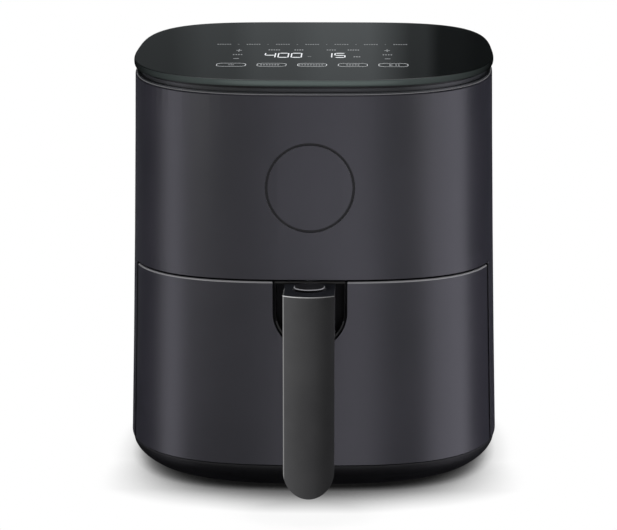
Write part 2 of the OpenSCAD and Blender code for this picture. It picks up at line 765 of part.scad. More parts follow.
module trim_ring() color(black_plastic) placed() on_top() difference() {
    union() {
        top_plate(-ring_drop, ring_drop + recess_h - carrier_t, recess_in);
        top_plate(0, 1, top_bevel + screw_slack);
    }
    top_plate(-far / 2, far, recess_in + ring_wall);
}

module at_display() {
    translate([0, display_y, 0]) children();
}

module panel_carrier() color(black_plastic) placed() on_top() difference() {
    union() {
        top_plate(recess_h - carrier_t, carrier_t, recess_in + 0.6);
        at_display() four_places(80, 58) translate([0, 0, panel_board_z])
            cylinder(recess_h - panel_board_z - 1, 3, 3);
        for (x = [-60, 60]) translate([x - 1, 30, recess_h - carrier_t - 4]) cube([2, 70, 5]);
    }
    at_display() slab(display_w + 2 * slack, display_d + 2 * slack, -far / 2, far);
}

module control_board() color(board_green) placed() on_top() at_display()
    translate([0, 0, panel_board_z - panel_board_t]) linear_extrude(panel_board_t)
        polygon(round_rect(172, 128, 4));

module display_module() color("#0c0c0e") placed() on_top() at_display()
    slab(display_w, display_d, panel_board_z, recess_h - panel_board_z - slack);

module control_panel() color(glass_black) placed() on_top()
    lofted([for (p = [[0, 0.5], [0.5, 0], [glass_t - 0.9, 0], [glass_t - 0.3, 0.3], [glass_t, 0.9]])
        at_height(top_plan(p[1] - glass_overhang), recess_h + 0.05 + p[0])]);

// ---- Drawer front ----

notch_mid = seam_h - notch_h + notch_w / 2;
pocket_front = -half_depth(seam_h) + 0.3;
pocket_back_t = 1.5;
pocket_rear = pan_front - 1;
pocket_wall = 0.9;
pocket_top_t = 1.3;
frame_wall = 2;
frame_room = 1;

// The notch's outline in X and Z: straight flanks with a full round end
module notch_outline(inset, top) {
    intersection() {
        translate([0, notch_mid]) circle(notch_w / 2 - inset);
        translate([-notch_w / 2, notch_mid - notch_w]) square([notch_w, notch_w]);
    }
    translate([-notch_w / 2 + inset, notch_mid]) square([notch_w - 2 * inset, top - notch_mid]);
}

module notch(inset, top, front, rear) {
    translate([0, rear, 0]) rotate([90, 0, 0]) linear_extrude(rear - front) notch_outline(inset, top);
}

// The wall's upper edge is rounded off towards the front
module front_wall() {
    lofted(concat([for (z = levels(drawer_low, drawer_top - front_edge, flank_levels)) body_ring(z, 0)],
                  [for (a = [30, 60, 90])
                      body_ring(drawer_top - front_edge * (1 - sin(a)), front_edge * (1 - cos(a)))],
                  [for (z = levels(drawer_top, drawer_low, flank_levels)) body_ring(z, shell_wall)]), true);
}

module drawer_front() color(body_paint) placed() difference() {
    front_wall();
    translate([-far / 2, split_y - seam_gap / 2, 0]) cube([far, far, far]);
    notch(0, far, -far, 0);
}

module frame_block(low, grow) {
    difference() {
        body_core(low, drawer_top - grow, shell_wall + slack + grow);
        translate([-far / 2, split_y - seam_gap / 2 - grow, -far / 2]) cube([far, far, far]);
        translate([0, 0, -far / 2]) linear_extrude(far)
            polygon(moved(round_rect(pan_w + 2 * (frame_room + grow), pan_l + 2 * (frame_room + grow),
                                     pan_corner + frame_room + grow), pan_y));
        notch(notch_gap - slack - grow, far, -far, pan_y);
    }
}

// A moulding that backs the front and closes round the pan, open underneath
module drawer_frame() color(black_plastic) placed() difference() {
    frame_block(drawer_low + 0.2, 0);
    frame_block(drawer_low - 5, frame_wall);
}

strap_w = handle_w - 2 * handle_wall - 5.2;
handle_bolt_x = strap_w / 2 - 5;
handle_bolt_z = seam_h - 30.3;
handle_bolt_r = 2;

module handle_bolt_places(y, length, r) {
    for (side = [-1, 1]) translate([side * handle_bolt_x, 0, handle_bolt_z]) along_y(y, length, r);
}

module handle_pocket() color(black_plastic) placed() difference() {
    union() {
        notch(notch_gap, drawer_top, pocket_front, pocket_rear);
        handle_bolt_places(pocket_rear - 0.5, pan_side(handle_bolt_z) - slack - pocket_rear + 0.5, 5);
    }
    notch(notch_gap + pocket_wall, drawer_top - pocket_top_t, pocket_front - 1, pocket_rear - pocket_back_t);
    handle_bolt_places(-far, 2 * far, handle_bolt_r + screw_slack);
    nose_slot(drawer_top - 3, drawer_top + 1);
}

// ---- Handle ----

handle_front = -body_d / 2 - handle_reach;
handle_top = seam_h - handle_top_drop;
grip_back = handle_front + grip_t;
arm_rear = pocket_rear - pocket_back_t - slack;
arm_low = handle_top - arm_h;
arm_fillet = 12;
back_t = 2.4;
bow_r = (handle_w * handle_w / 4 + grip_bow * grip_bow) / (2 * grip_bow);
button_w = handle_w * button_share;
button_y = -body_d / 2 - 13;
pivot_y = -body_d / 2 - 35;
pivot_z = handle_top - 12;
lever_t = 6;
pin_r = 1.5;
nose_front = -body_d / 2 + 11;
nose_t = 3.5;
nose_top = deck_low + 2.1;

// Seen from above: the front is an arc, and the arm behind it is straight
module handle_section(inset) {
    intersection() {
        translate([0, handle_front + bow_r]) circle(bow_r - inset);
        translate([-handle_w / 2 + inset, handle_front - 1]) square([handle_w - 2 * inset, bow_r]);
    }
    translate([-handle_w / 2 + inset, handle_front + bow_r - 2])
        square([handle_w - 2 * inset, arm_rear - handle_front - bow_r + 2]);
}

// Seen from the front: straight flanks with a full round lower end
module handle_face(inset) {
    translate([0, handle_bottom + handle_w / 2]) circle(handle_w / 2 - inset);
    translate([-handle_w / 2 + inset, handle_bottom + handle_w / 2])
        square([handle_w - 2 * inset, handle_top - inset - handle_bottom - handle_w / 2]);
}

// The line down the grip's back, in Y and Z: along the arm's underside and round the fillet
function back_line(inset, low, rear) =
    concat([[grip_back - inset, low]],
           [for (k = [0 : corner_steps]) let (a = 180 - 90 * k / corner_steps)
               [grip_back + arm_fillet + (arm_fillet + inset) * cos(a),
                arm_low - arm_fillet + (arm_fillet + inset) * sin(a)]],
           [[rear, arm_low + inset]]);

module before_back_line(inset) {
    across(far) polygon(concat([[-far, -far]], back_line(inset, -far, 0), [[0, far], [-far, far]]));
}

module handle_solid(inset) {
    intersection() {
        linear_extrude(far) handle_section(inset);
        rotate([90, 0, 0]) linear_extrude(2 * far, center = true) handle_face(inset);
        before_back_line(inset);
    }
}

module button_shape(grow) {
    polygon(moved(round_rect(button_w + 2 * grow, button_l + 2 * grow, button_w / 2 + grow - 0.01, 12), button_y));
}

module nose_slot(low, high) {
    translate([-nose_w / 2 - 0.6, nose_front - 0.5, low]) cube([nose_w + 1.2, nose_t + 3, high - low]);
}

module handle_grip() color(grip_grey) placed() difference() {
    intersection() {
        handle_solid(0);
        before_back_line(back_t);
    }
    handle_cavity();
    for (y = [0, -button_nose_gap]) translate([0, y, 0]) linear_extrude(far) button_shape(button_gap);
    nose_slot(arm_low + 5, far);
    translate([0, pivot_y, pivot_z]) rotate([0, 90, 0])
        cylinder(handle_w - 2.4, pin_r + screw_slack, pin_r + screw_slack, center = true);
}

// The room inside the shells, open at the arm's rear end
module handle_cavity() {
    intersection() {
        translate([0, 0, -1]) linear_extrude(far) handle_section(handle_wall);
        rotate([90, 0, 0]) linear_extrude(2 * far, center = true) handle_face(handle_wall);
        before_back_line(back_t - 1);
    }
}

module handle_back() color(grip_grey) placed() difference() {
    handle_solid(0);
    before_back_line(back_t);
}

strap_t = 2;
strap_end = 55;
strap_flange_top = handle_bolt_z + 5.5;

// One bent strip: a flange on the pocket, along the arm, round the fillet and down the grip
module handle_core() color(steel) placed() difference() {
    near = back_t + slack;
    across(strap_w) polygon(concat(
        back_line(near, strap_end, arm_rear + slack),
        [[arm_rear + slack, strap_flange_top], [arm_rear + slack - strap_t, strap_flange_top]],
        [for (k = [len(back_line(0, 0, 0)) - 1 : -1 : 0])
            back_line(near + strap_t, strap_end, arm_rear + slack - strap_t)[k]]));
    handle_bolt_places(-far, 2 * far, handle_bolt_r + screw_slack);
}

module handle_screws() color(steel) placed() {
    head_y = pan_side(handle_bolt_z) + pan_wall + 0.15;
    handle_bolt_places(arm_rear - 5, head_y - arm_rear + 5, handle_bolt_r);
    handle_bolt_places(head_y, 2, 3.8);
}

module release_button() color(black_plastic) placed() {
    flange_top = handle_top - handle_wall - 0.1;
    translate([0, 0, flange_top - 1.5]) linear_extrude(1.5) button_shape(button_gap + 1.4);
    translate([0, 0, flange_top - 0.1])
        linear_extrude(handle_top + button_rise - 0.6 - flange_top + 0.1) button_shape(0);
    translate([0, 0, handle_top + button_rise - 0.7]) linear_extrude(0.7) button_shape(-0.6);
    stem_low = pivot_z + lever_t / 2 + slack;
    translate([0, button_y, stem_low + 2.5]) cylinder(flange_top - stem_low - 3, 2.5, 2.5);
    translate([0, button_y, stem_low + 2.5]) sphere(2.5);
}

// A bar on the pivot with a nose at its far end, which hooks into the deck
module latch_lever() color(steel) placed() difference() {
    union() {
        across(nose_w) polygon([
            [pivot_y, pivot_z - lever_t / 2], [nose_front + nose_t, pivot_z - lever_t / 2],
            [nose_front + nose_t, nose_top - 2.5], [nose_front + nose_t - 2, nose_top],
            [nose_front, nose_top], [nose_front, pivot_z + lever_t / 2], [pivot_y, pivot_z + lever_t / 2]]);
        translate([0, pivot_y, pivot_z]) rotate([0, 90, 0]) cylinder(nose_w, 4, 4, center = true);
    }
    translate([0, pivot_y, pivot_z]) rotate([0, 90, 0])
        cylinder(far, pin_r + shaft_fit, pin_r + shaft_fit, center = true);
}

module latch_pin() color(steel) placed() {
    translate([0, pivot_y, pivot_z]) rotate([0, 90, 0]) cylinder(handle_w - 2.8, pin_r, pin_r, center = true);
}

spring_r = 3.2;
spring_wire = 0.4;
spring_turns = 5;
spring_low = arm_low + back_t + slack + strap_t + spring_wire + 0.1;
spring_high = pivot_z - lever_t / 2 - spring_wire - 0.1;

module latch_spring() color(steel) placed() {
    count = spring_turns * 14;
    lofted([for (k = [0 : count])
        let (a = 360 * spring_turns * k / count, z = spring_low + (spring_high - spring_low) * k / count)
        [for (s = [0 : 5])
            [(spring_r + spring_wire * cos(60 * s)) * cos(a),
             button_y + 1 + (spring_r + spring_wire * cos(60 * s)) * sin(a),
             z + spring_wire * sin(60 * s)]]]);
}

// ---- Pan and crisper ----

pan_draft = 0.026;
pan_fillet = 12;

// Inset of the pan's outer wall from its rim at a height
function pan_inset(z) = pan_flange + pan_draft * (pan_rim - z);
function pan_side(z) = pan_front + pan_inset(z);
function pan_ring(z, inset) =
    at_height(moved(round_rect(pan_w - 2 * inset, pan_l - 2 * inset, pan_corner - inset), pan_y), z);
// Height and inset along the fillet from the floor up to the wall
function fillet_points(floor_z, r, wall) =
    [for (k = [0 : fillet_steps]) let (a = 90 * k / fillet_steps)
        [floor_z + r - r * cos(a), pan_inset(floor_z + r) + wall + r - r * sin(a)]];

module pan() color(nonstick) placed() difference() {
    outside = concat(fillet_points(pan_low, pan_fillet, 0),
                     [[pan_rim - pan_wall, pan_inset(pan_rim)], [pan_rim - pan_wall, 0], [pan_rim, 0]]);
    inside = concat([[pan_rim, pan_flange + pan_wall]],
                    [for (k = [fillet_steps : -1 : 0])
                        fillet_points(pan_floor, pan_fillet - pan_wall, pan_wall)[k]]);
    lofted([for (p = concat(outside, inside)) pan_ring(p[0], p[1])]);
    handle_bolt_places(-far, far + pan_y, handle_bolt_r + screw_slack);
}

plate_t = 1.5;
plate_z = pan_floor + crisper_h;
plate_inset = pan_inset(plate_z) + pan_wall + 1;
plate_rim_h = 6;

module plate_outline(inset) {
    polygon(moved(round_rect(pan_w - 2 * (plate_inset + inset), pan_l - 2 * (plate_inset + inset),
                             pan_corner - plate_inset - inset), pan_y));
}

module crisper_plate() color(nonstick) placed() difference() {
    union() {
        translate([0, 0, plate_z]) linear_extrude(plate_t) plate_outline(0);
        translate([0, 0, plate_z - plate_rim_h + plate_t]) linear_extrude(plate_rim_h - 0.1) plate_outline(0);
    }
    translate([0, 0, plate_z - plate_rim_h]) linear_extrude(plate_rim_h) plate_outline(plate_t);
    reach = floor((min(pan_w, pan_l) / 2 - plate_inset - 8) / crisper_pitch);
    for (i = [-reach : reach], j = [-reach : reach])
        if (abs(i) + abs(j) < 2 * reach)
            translate([i * crisper_pitch, pan_y + j * crisper_pitch, 0]) cylinder(far, crisper_hole_r, crisper_hole_r);
}

bumper_r = 5;

module plate_bumpers() color(rubber) placed()
    translate([0, pan_y, 0]) four_places(pan_w / 2 - pan_corner + 8, pan_l / 2 - pan_corner + 8)
        translate([0, 0, pan_floor + slack]) cylinder(crisper_h - slack, bumper_r, bumper_r);

outer_shell();
badge_ring();
base_tray();
feet();
base_screws();
bay_floor();
bay_liner();
bay_bezel();
upper_deck();
heat_chamber();
heater_coil();
heater_bushings();
heater_guard();
temperature_probe();
thermal_cutout();
exhaust_duct();
rear_vent();
vent_screws();
motor_bracket();
motor_stator();
motor_winding();
motor_cap();
motor_screws();
motor_rotor();
fan_shaft();
convection_fan();
cooling_fan();
fan_nut();
power_board();
board_parts();
board_bracket();
door_switch();
switch_plunger();
cord_gland();
trim_ring();
panel_carrier();
control_board();
display_module();
control_panel();
drawer_front();
drawer_frame();
handle_pocket();
handle_grip();
handle_back();
handle_core();
handle_screws();
release_button();
latch_lever();
latch_pin();
latch_spring();
pan();
crisper_plate();
plate_bumpers();
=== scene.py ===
import json
import math
import bmesh
import bpy
from mathutils import Matrix, Vector

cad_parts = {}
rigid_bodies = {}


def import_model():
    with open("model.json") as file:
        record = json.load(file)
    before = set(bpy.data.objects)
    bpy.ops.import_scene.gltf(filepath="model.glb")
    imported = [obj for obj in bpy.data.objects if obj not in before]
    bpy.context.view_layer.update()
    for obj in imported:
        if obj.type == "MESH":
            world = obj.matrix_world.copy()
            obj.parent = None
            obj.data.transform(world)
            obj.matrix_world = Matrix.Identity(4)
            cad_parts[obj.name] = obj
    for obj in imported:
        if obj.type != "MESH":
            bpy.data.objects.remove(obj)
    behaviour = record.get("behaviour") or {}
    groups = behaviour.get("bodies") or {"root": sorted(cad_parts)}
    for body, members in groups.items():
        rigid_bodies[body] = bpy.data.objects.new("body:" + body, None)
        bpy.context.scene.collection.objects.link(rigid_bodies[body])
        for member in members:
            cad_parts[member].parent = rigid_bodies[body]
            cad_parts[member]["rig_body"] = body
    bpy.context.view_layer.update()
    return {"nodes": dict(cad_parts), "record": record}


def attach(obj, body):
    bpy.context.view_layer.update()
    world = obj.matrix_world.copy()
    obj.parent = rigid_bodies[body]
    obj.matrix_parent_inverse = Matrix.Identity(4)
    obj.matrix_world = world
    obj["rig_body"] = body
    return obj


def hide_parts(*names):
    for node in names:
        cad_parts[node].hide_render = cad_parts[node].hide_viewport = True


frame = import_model()
print("frame loaded:", len(frame["nodes"]), "nodes")

mm = 0.001
mergeReach = 0.02 * mm
topTilt = math.radians(3.8)
topMiddle = Vector((0, 22.15 * mm, 299.5 * mm))
bodyMiddle = Vector((0, 22.15 * mm, 0))  # the body's own axis, which the handle pushes back
scene = bpy.context.scene


# Materials. Every finish has a colour drift, a roughness drift and a fine relief on Object coordinates.

def addNode(tree, kind, place, **values):
    node = tree.nodes.new(kind)
    node.location = place
    for key, value in values.items():
        setattr(node, key, value)
    return node


def wire(tree, source, target):
    tree.links.new(source, target)


def plainFinish(name, look):
    material = bpy.data.materials.new(name)
    material.use_nodes = True
    tree = material.node_tree
    shader = tree.nodes["Principled BSDF"]
    shader.location = (300, 0)
    spot = addNode(tree, "ShaderNodeTexCoord", (-1100, 0))
    turn = addNode(tree, "ShaderNodeMapping", (-900, 0))
    turn.inputs["Scale"].default_value = look.get("stretch", (1, 1, 1))
    wire(tree, spot.outputs["Object"], turn.inputs["Vector"])

    drift = addNode(tree, "ShaderNodeTexNoise", (-650, 250))
    drift.inputs["Scale"].default_value = look.get("driftScale", 45)
    drift.inputs["Detail"].default_value = 5
    grain = addNode(tree, "ShaderNodeTexNoise", (-650, -50))
    grain.inputs["Scale"].default_value = look.get("grainScale", 2600)
    grain.inputs["Detail"].default_value = 2
    for noise in (drift, grain):
        wire(tree, turn.outputs["Vector"], noise.inputs["Vector"])

    ramp = addNode(tree, "ShaderNodeValToRGB", (-400, 250))
    ramp.color_ramp.elements[0].position = 0.3
    ramp.color_ramp.elements[1].position = 0.7
    low, high = look["colours"]
    ramp.color_ramp.elements[0].color = (*low, 1)
    ramp.color_ramp.elements[1].color = (*high, 1)
    speck = addNode(tree, "ShaderNodeMath", (-650, 500), operation="MULTIPLY_ADD")
    speck.inputs[1].default_value = look.get("speck", 0.35)
    speck.inputs[2].default_value = -look.get("speck", 0.35) / 2
    total = addNode(tree, "ShaderNodeMath", (-500, 500), operation="ADD")
    wire(tree, grain.outputs["Fac"], speck.inputs[0])
    wire(tree, speck.outputs[0], total.inputs[0])
    wire(tree, drift.outputs["Fac"], total.inputs[1])
    wire(tree, total.outputs[0], ramp.inputs["Fac"])
    wire(tree, ramp.outputs["Color"], shader.inputs["Base Color"])

    rough = addNode(tree, "ShaderNodeMapRange", (-400, 0))
    rough.inputs["To Min"].default_value = look["rough"][0]
    rough.inputs["To Max"].default_value = look["rough"][1]
    wire(tree, drift.outputs["Fac"], rough.inputs["Value"])
    wire(tree, rough.outputs[0], shader.inputs["Roughness"])

    relief = addNode(tree, "ShaderNodeBump", (50, -200))
    relief.inputs["Strength"].default_value = look.get("relief", 0.1)
    relief.inputs["Distance"].default_value = look.get("reliefDepth", 0.05) * mm
    wire(tree, grain.outputs["Fac"], relief.inputs["Height"])
    wire(tree, relief.outputs["Normal"], shader.inputs["Normal"])

    shader.inputs["Metallic"].default_value = look.get("metal", 0)
    shader.inputs["IOR"].default_value = look.get("ior", 1.5)
    shader.inputs["Specular IOR Level"].default_value = look.get("specular", 0.5)
    shader.inputs["Coat Weight"].default_value = look.get("coat", 0)
    shader.inputs["Coat Roughness"].default_value = look.get("coatRough", 0.1)
    return material


# Turned, brushed or rolled metal: the relief runs along one way
def brushedFinish(name, look):
    return plainFinish(name, {"stretch": (1, 1, 14), **look})


# Copper wire laid in rings
def woundFinish(name, look):
    material = plainFinish(name, look)
    tree = material.node_tree
    shader = tree.nodes["Principled BSDF"]
    spot = tree.nodes["Texture Coordinate"]
    wave = addNode(tree, "ShaderNodeTexWave", (-650, -350), wave_type="BANDS", bands_direction="Z")
    wave.inputs["Scale"].default_value = look["wirePitch"]
    wave.inputs["Distortion"].default_value = 0.6
    relief = addNode(tree, "ShaderNodeBump", (50, -450))
    relief.inputs["Strength"].default_value = 0.8
    relief.inputs["Distance"].default_value = 0.3 * mm
    wire(tree, spot.outputs["Object"], wave.inputs["Vector"])
    wire(tree, wave.outputs["Fac"], relief.inputs["Height"])
    wire(tree, relief.outputs["Normal"], shader.inputs["Normal"])
    return material


# A circuit board: solder mask with darker tracks
def boardFinish(name, look):
    material = plainFinish(name, look)
    tree = material.node_tree
    spot = tree.nodes["Texture Coordinate"]
    shader = tree.nodes["Principled BSDF"]
    tracks = addNode(tree, "ShaderNodeTexBrick", (-400, 550))
    tracks.inputs["Scale"].default_value = 90
    tracks.inputs["Color1"].default_value = (*look["colours"][0], 1)
    tracks.inputs["Color2"].default_value = (*look["colours"][1], 1)
    tracks.inputs["Mortar"].default_value = (*look["track"], 1)
    tracks.inputs["Mortar Size"].default_value = 0.012
    wire(tree, spot.outputs["Object"], tracks.inputs["Vector"])
    wire(tree, tracks.outputs["Color"], shader.inputs["Base Color"])
    return material


# Mixes other values into a finish where a mask is white
def mixIn(material, mask, others):
    tree = material.node_tree
    shader = tree.nodes["Principled BSDF"]
    for label, value in others.items():
        target = shader.inputs[label]
        kind = "RGBA" if label == "Base Color" else "FLOAT"
        mix = addNode(tree, "ShaderNodeMix", (0, 600), data_type=kind)
        slots = [socket for socket in mix.inputs if socket.enabled]
        wire(tree, mask, slots[0])
        if target.is_linked:
            wire(tree, target.links[0].from_socket, slots[1])
        else:
            slots[1].default_value = target.default_value
        slots[2].default_value = value
        wire(tree, next(socket for socket in mix.outputs if socket.enabled), target)


# Blends other values in where the surface faces a given way, from stops along one axis of its normal
def blendByFacing(material, axis, stops, others, normal):
    tree = material.node_tree
    facing = addNode(tree, "ShaderNodeNewGeometry", (-1100, 900))
    parts = addNode(tree, "ShaderNodeSeparateXYZ", (-900, 900))
    along = addNode(tree, "ShaderNodeMath", (-700, 900), operation="MULTIPLY_ADD")
    along.inputs[1].default_value = 0.5
    along.inputs[2].default_value = 0.5
    mask = addNode(tree, "ShaderNodeValToRGB", (-500, 900))
    for index, (place, amount) in enumerate(stops):
        stop = mask.color_ramp.elements[index] if index < 2 else mask.color_ramp.elements.new(place / 2 + 0.5)
        stop.position = place / 2 + 0.5
        stop.color = (amount, amount, amount, 1)
    wire(tree, facing.outputs[normal], parts.inputs[0])
    wire(tree, parts.outputs[axis], along.inputs[0])
    wire(tree, along.outputs[0], mask.inputs["Fac"])
    mixIn(material, mask.outputs["Color"], others)


# Blends other values in between two depths below the body's sloping top
def blendBelowTop(material, low, high, others):
    tree = material.node_tree
    slope = addNode(tree, "ShaderNodeVectorMath", (-900, 1600), operation="DOT_PRODUCT")
    up = Vector((0, -math.sin(topTilt), math.cos(topTilt)))
    slope.inputs[1].default_value = up
    band = addNode(tree, "ShaderNodeMath", (-700, 1600), operation="COMPARE")
    band.inputs[1].default_value = up.dot(topMiddle) + (low + high) / 2
    band.inputs[2].default_value = (high - low) / 2
    wire(tree, tree.nodes["Texture Coordinate"].outputs["Object"], slope.inputs[0])
    wire(tree, slope.outputs["Value"], band.inputs[0])
    mixIn(material, band.outputs[0], others)


# Blends other values in inside a box of the object's own coordinates, where the normal's Y is above a limit
def blendInBox(material, centre, half, others, leastY):
    tree = material.node_tree
    spot = addNode(tree, "ShaderNodeSeparateXYZ", (-900, 1200))
    wire(tree, tree.nodes["Texture Coordinate"].outputs["Object"], spot.inputs[0])
    facing = addNode(tree, "ShaderNodeNewGeometry", (-1100, 1400))
    parts = addNode(tree, "ShaderNodeSeparateXYZ", (-900, 1400))
    wire(tree, facing.outputs["Normal"], parts.inputs[0])
    turned = addNode(tree, "ShaderNodeMath", (-700, 1400), operation="GREATER_THAN")
    turned.inputs[1].default_value = leastY
    wire(tree, parts.outputs["Y"], turned.inputs[0])
    inside = turned.outputs[0]
    for index in range(3):
        near = addNode(tree, "ShaderNodeMath", (-700, 1200), operation="COMPARE")
        near.inputs[1].default_value = centre[index]
        near.inputs[2].default_value = half[index]
        wire(tree, spot.outputs[index], near.inputs[0])
        both = addNode(tree, "ShaderNodeMath", (-500, 1200), operation="MULTIPLY")
        wire(tree, inside, both.inputs[0])
        wire(tree, near.outputs[0], both.inputs[1])
        inside = both.outputs[0]
    mixIn(material, inside, others)


finishes = {
    "satinBody": plainFinish("satinBody", {
        "colours": ((0.020, 0.020, 0.026), (0.028, 0.027, 0.035)), "rough": (0.34, 0.38), "driftScale": 14,
        "grainScale": 3200, "speck": 0.5, "relief": 0.25, "reliefDepth": 0.03, "specular": 0.28}),
    "blackMoulding": plainFinish("blackMoulding", {
        "colours": ((0.003, 0.003, 0.0035), (0.005, 0.005, 0.0055)), "rough": (0.42, 0.55), "relief": 0.3,
        "specular": 0.2}),
    "baseBlack": plainFinish("baseBlack", {
        "colours": ((0.002, 0.002, 0.0024), (0.0035, 0.0035, 0.004)), "rough": (0.5, 0.6), "relief": 0.25,
        "specular": 0.12}),
    "buttonSatin": plainFinish("buttonSatin", {
        "colours": ((0.006, 0.006, 0.0065), (0.009, 0.009, 0.0095)), "rough": (0.4, 0.5), "relief": 0.2,
        "specular": 0.2}),
    # darker than the black moulding: painted shade inside the handle's pocket and the drawer frame
    "pocketBlack": plainFinish("pocketBlack", {
        "colours": ((0.0015, 0.0015, 0.0017), (0.0025, 0.0025, 0.0028)), "rough": (0.5, 0.6), "relief": 0.2,
        "specular": 0.06}),
    # the trim ring is black plastic, painted paler here to stand for the light it catches in the recess
    "recessSatin": plainFinish("recessSatin", {
        "colours": ((0.020, 0.022, 0.024), (0.028, 0.030, 0.032)), "rough": (0.4, 0.5), "relief": 0.2,
        "specular": 0.3}),
    "darkGlass": plainFinish("darkGlass", {
        "colours": ((0.002, 0.003, 0.003), (0.003, 0.0045, 0.0045)), "rough": (0.055, 0.075), "driftScale": 8,
        "relief": 0.02, "coat": 0.4, "coatRough": 0.03}),
    "gripSatin": plainFinish("gripSatin", {
        "colours": ((0.034, 0.034, 0.035), (0.042, 0.042, 0.043)), "rough": (0.42, 0.48), "driftScale": 30,
        "relief": 0.2, "specular": 0.03}),
    "nonstick": plainFinish("nonstick", {
        "colours": ((0.020, 0.020, 0.022), (0.034, 0.034, 0.037)), "rough": (0.3, 0.42), "driftScale": 60,
        "grainScale": 1800, "speck": 0.7, "relief": 0.35, "coat": 0.15, "coatRough": 0.3}),
    "brightSteel": brushedFinish("brightSteel", {
        "colours": ((0.50, 0.51, 0.52), (0.62, 0.63, 0.65)), "rough": (0.2, 0.32), "grainScale": 900,
        "relief": 0.12, "metal": 1}),
    "galvanisedSheet": plainFinish("galvanisedSheet", {
        "colours": ((0.36, 0.37, 0.39), (0.50, 0.51, 0.53)), "rough": (0.3, 0.48), "driftScale": 120,
        "grainScale": 700, "relief": 0.1, "metal": 1}),
    "heaterTube": plainFinish("heaterTube", {
        "colours": ((0.10, 0.09, 0.085), (0.20, 0.18, 0.165)), "rough": (0.4, 0.6), "driftScale": 90,
        "relief": 0.3, "metal": 0.8}),
    "stackedSteel": brushedFinish("stackedSteel", {
        "colours": ((0.22, 0.23, 0.24), (0.34, 0.35, 0.36)), "rough": (0.35, 0.5), "stretch": (1, 1, 60),
        "grainScale": 120, "relief": 0.6, "reliefDepth": 0.2, "metal": 1}),
    "copperWire": woundFinish("copperWire", {
        "colours": ((0.45, 0.16, 0.05), (0.68, 0.29, 0.11)), "rough": (0.25, 0.4), "wirePitch": 320,
        "metal": 1}),
    "greenBoard": boardFinish("greenBoard", {
        "colours": ((0.010, 0.085, 0.032), (0.016, 0.11, 0.045)), "track": (0.05, 0.20, 0.09),
        "rough": (0.3, 0.4)}),
    "componentCase": plainFinish("componentCase", {
        "colours": ((0.02, 0.05, 0.12), (0.035, 0.08, 0.17)), "rough": (0.35, 0.45)}),
    "rubberFoot": plainFinish("rubberFoot", {
        "colours": ((0.010, 0.010, 0.010), (0.018, 0.018, 0.018)), "rough": (0.7, 0.85), "grainScale": 1400,
        "relief": 0.5, "specular": 0.3}),
    "softSilicone": plainFinish("softSilicone", {
        "colours": ((0.035, 0.035, 0.036), (0.05, 0.05, 0.052)), "rough": (0.5, 0.62), "relief": 0.2}),
    "glazedCeramic": plainFinish("glazedCeramic", {
        "colours": ((0.66, 0.63, 0.56), (0.78, 0.75, 0.68)), "rough": (0.25, 0.4), "driftScale": 200}),
}


def tone(*parts):
    return {"Base Color": (*parts, 1)}


# Blends by the way a surface faces: painted highlights make rounded edges paler and the base's upright lip
# paler than its tucked-under faces; painted shade darkens the handle's top and the button's front wall; the cut
# edge of the glass has its own green, painted pale as a highlight at the front and fading to dark at the sides
# painted shade: near black put where shade falls, on the button's front wall, the walls of the front opening
# and along the side joints
paintedShadeBlack = {**tone(0.001, 0.001, 0.001), "Specular IOR Level": 0.02}
# the cut edge's own green, made pale as a painted highlight of the light it catches
greenEdgeSheen = {**tone(0.15, 0.185, 0.178), "Roughness": 0.55, "Coat Weight": 0.0, "Specular IOR Level": 0.15}
for finish, axis, normal, stops, others in (
        # painted highlight: the body's and drawer front's rounded edges that face upward are coloured pale
        ("satinBody", "Z", "Normal", ((0.12, 0), (0.3, 1), (0.93, 1), (0.97, 0)), tone(0.32, 0.32, 0.33)),
        # painted light: the base's upright lip is paler, and its tucked-under faces stay dark as painted shade
        ("baseBlack", "Z", "Normal", ((-1, 0), (-0.12, 0), (-0.03, 1)), tone(0.018, 0.018, 0.019)),
        # painted shade: the handle's flat top is darker than its front
        ("gripSatin", "Z", "Normal", ((0.93, 0), (0.985, 1)), tone(0.015, 0.016, 0.019)),
        # painted highlight: the handle's rounded edges are pale
        ("gripSatin", "Z", "True Normal", ((0.12, 0), (0.4, 1), (0.88, 1), (0.96, 0)), tone(0.5, 0.5, 0.5)),
        # painted shade: the button's front wall is near black
        ("buttonSatin", "Y", "True Normal", ((-1, 1), (-0.5, 1), (-0.2, 0)), paintedShadeBlack),
        # painted highlight: the glass's rounded rim takes the cut edge's pale green
        ("darkGlass", "Z", "Normal", ((-1, 1), (0.6, 1), (0.88, 0)), greenEdgeSheen),
        # painted shade: the pale edge fades to dark as it turns to the sides
        ("darkGlass", "Y", "Normal", ((-1, 0), (-0.95, 0.48), (-0.8, 0.6), (-0.57, 0.75), (-0.2, 1)),
         tone(0.0025, 0.004, 0.004))):
    blendByFacing(finishes[finish], axis, stops, others, normal)
# the painted edge highlight is taken off again from 2.4 to 0.5 mm below the top, leaving a thin painted line
blendBelowTop(finishes["satinBody"], -2.4 * mm, -0.5 * mm, tone(0.024, 0.0235, 0.0305))

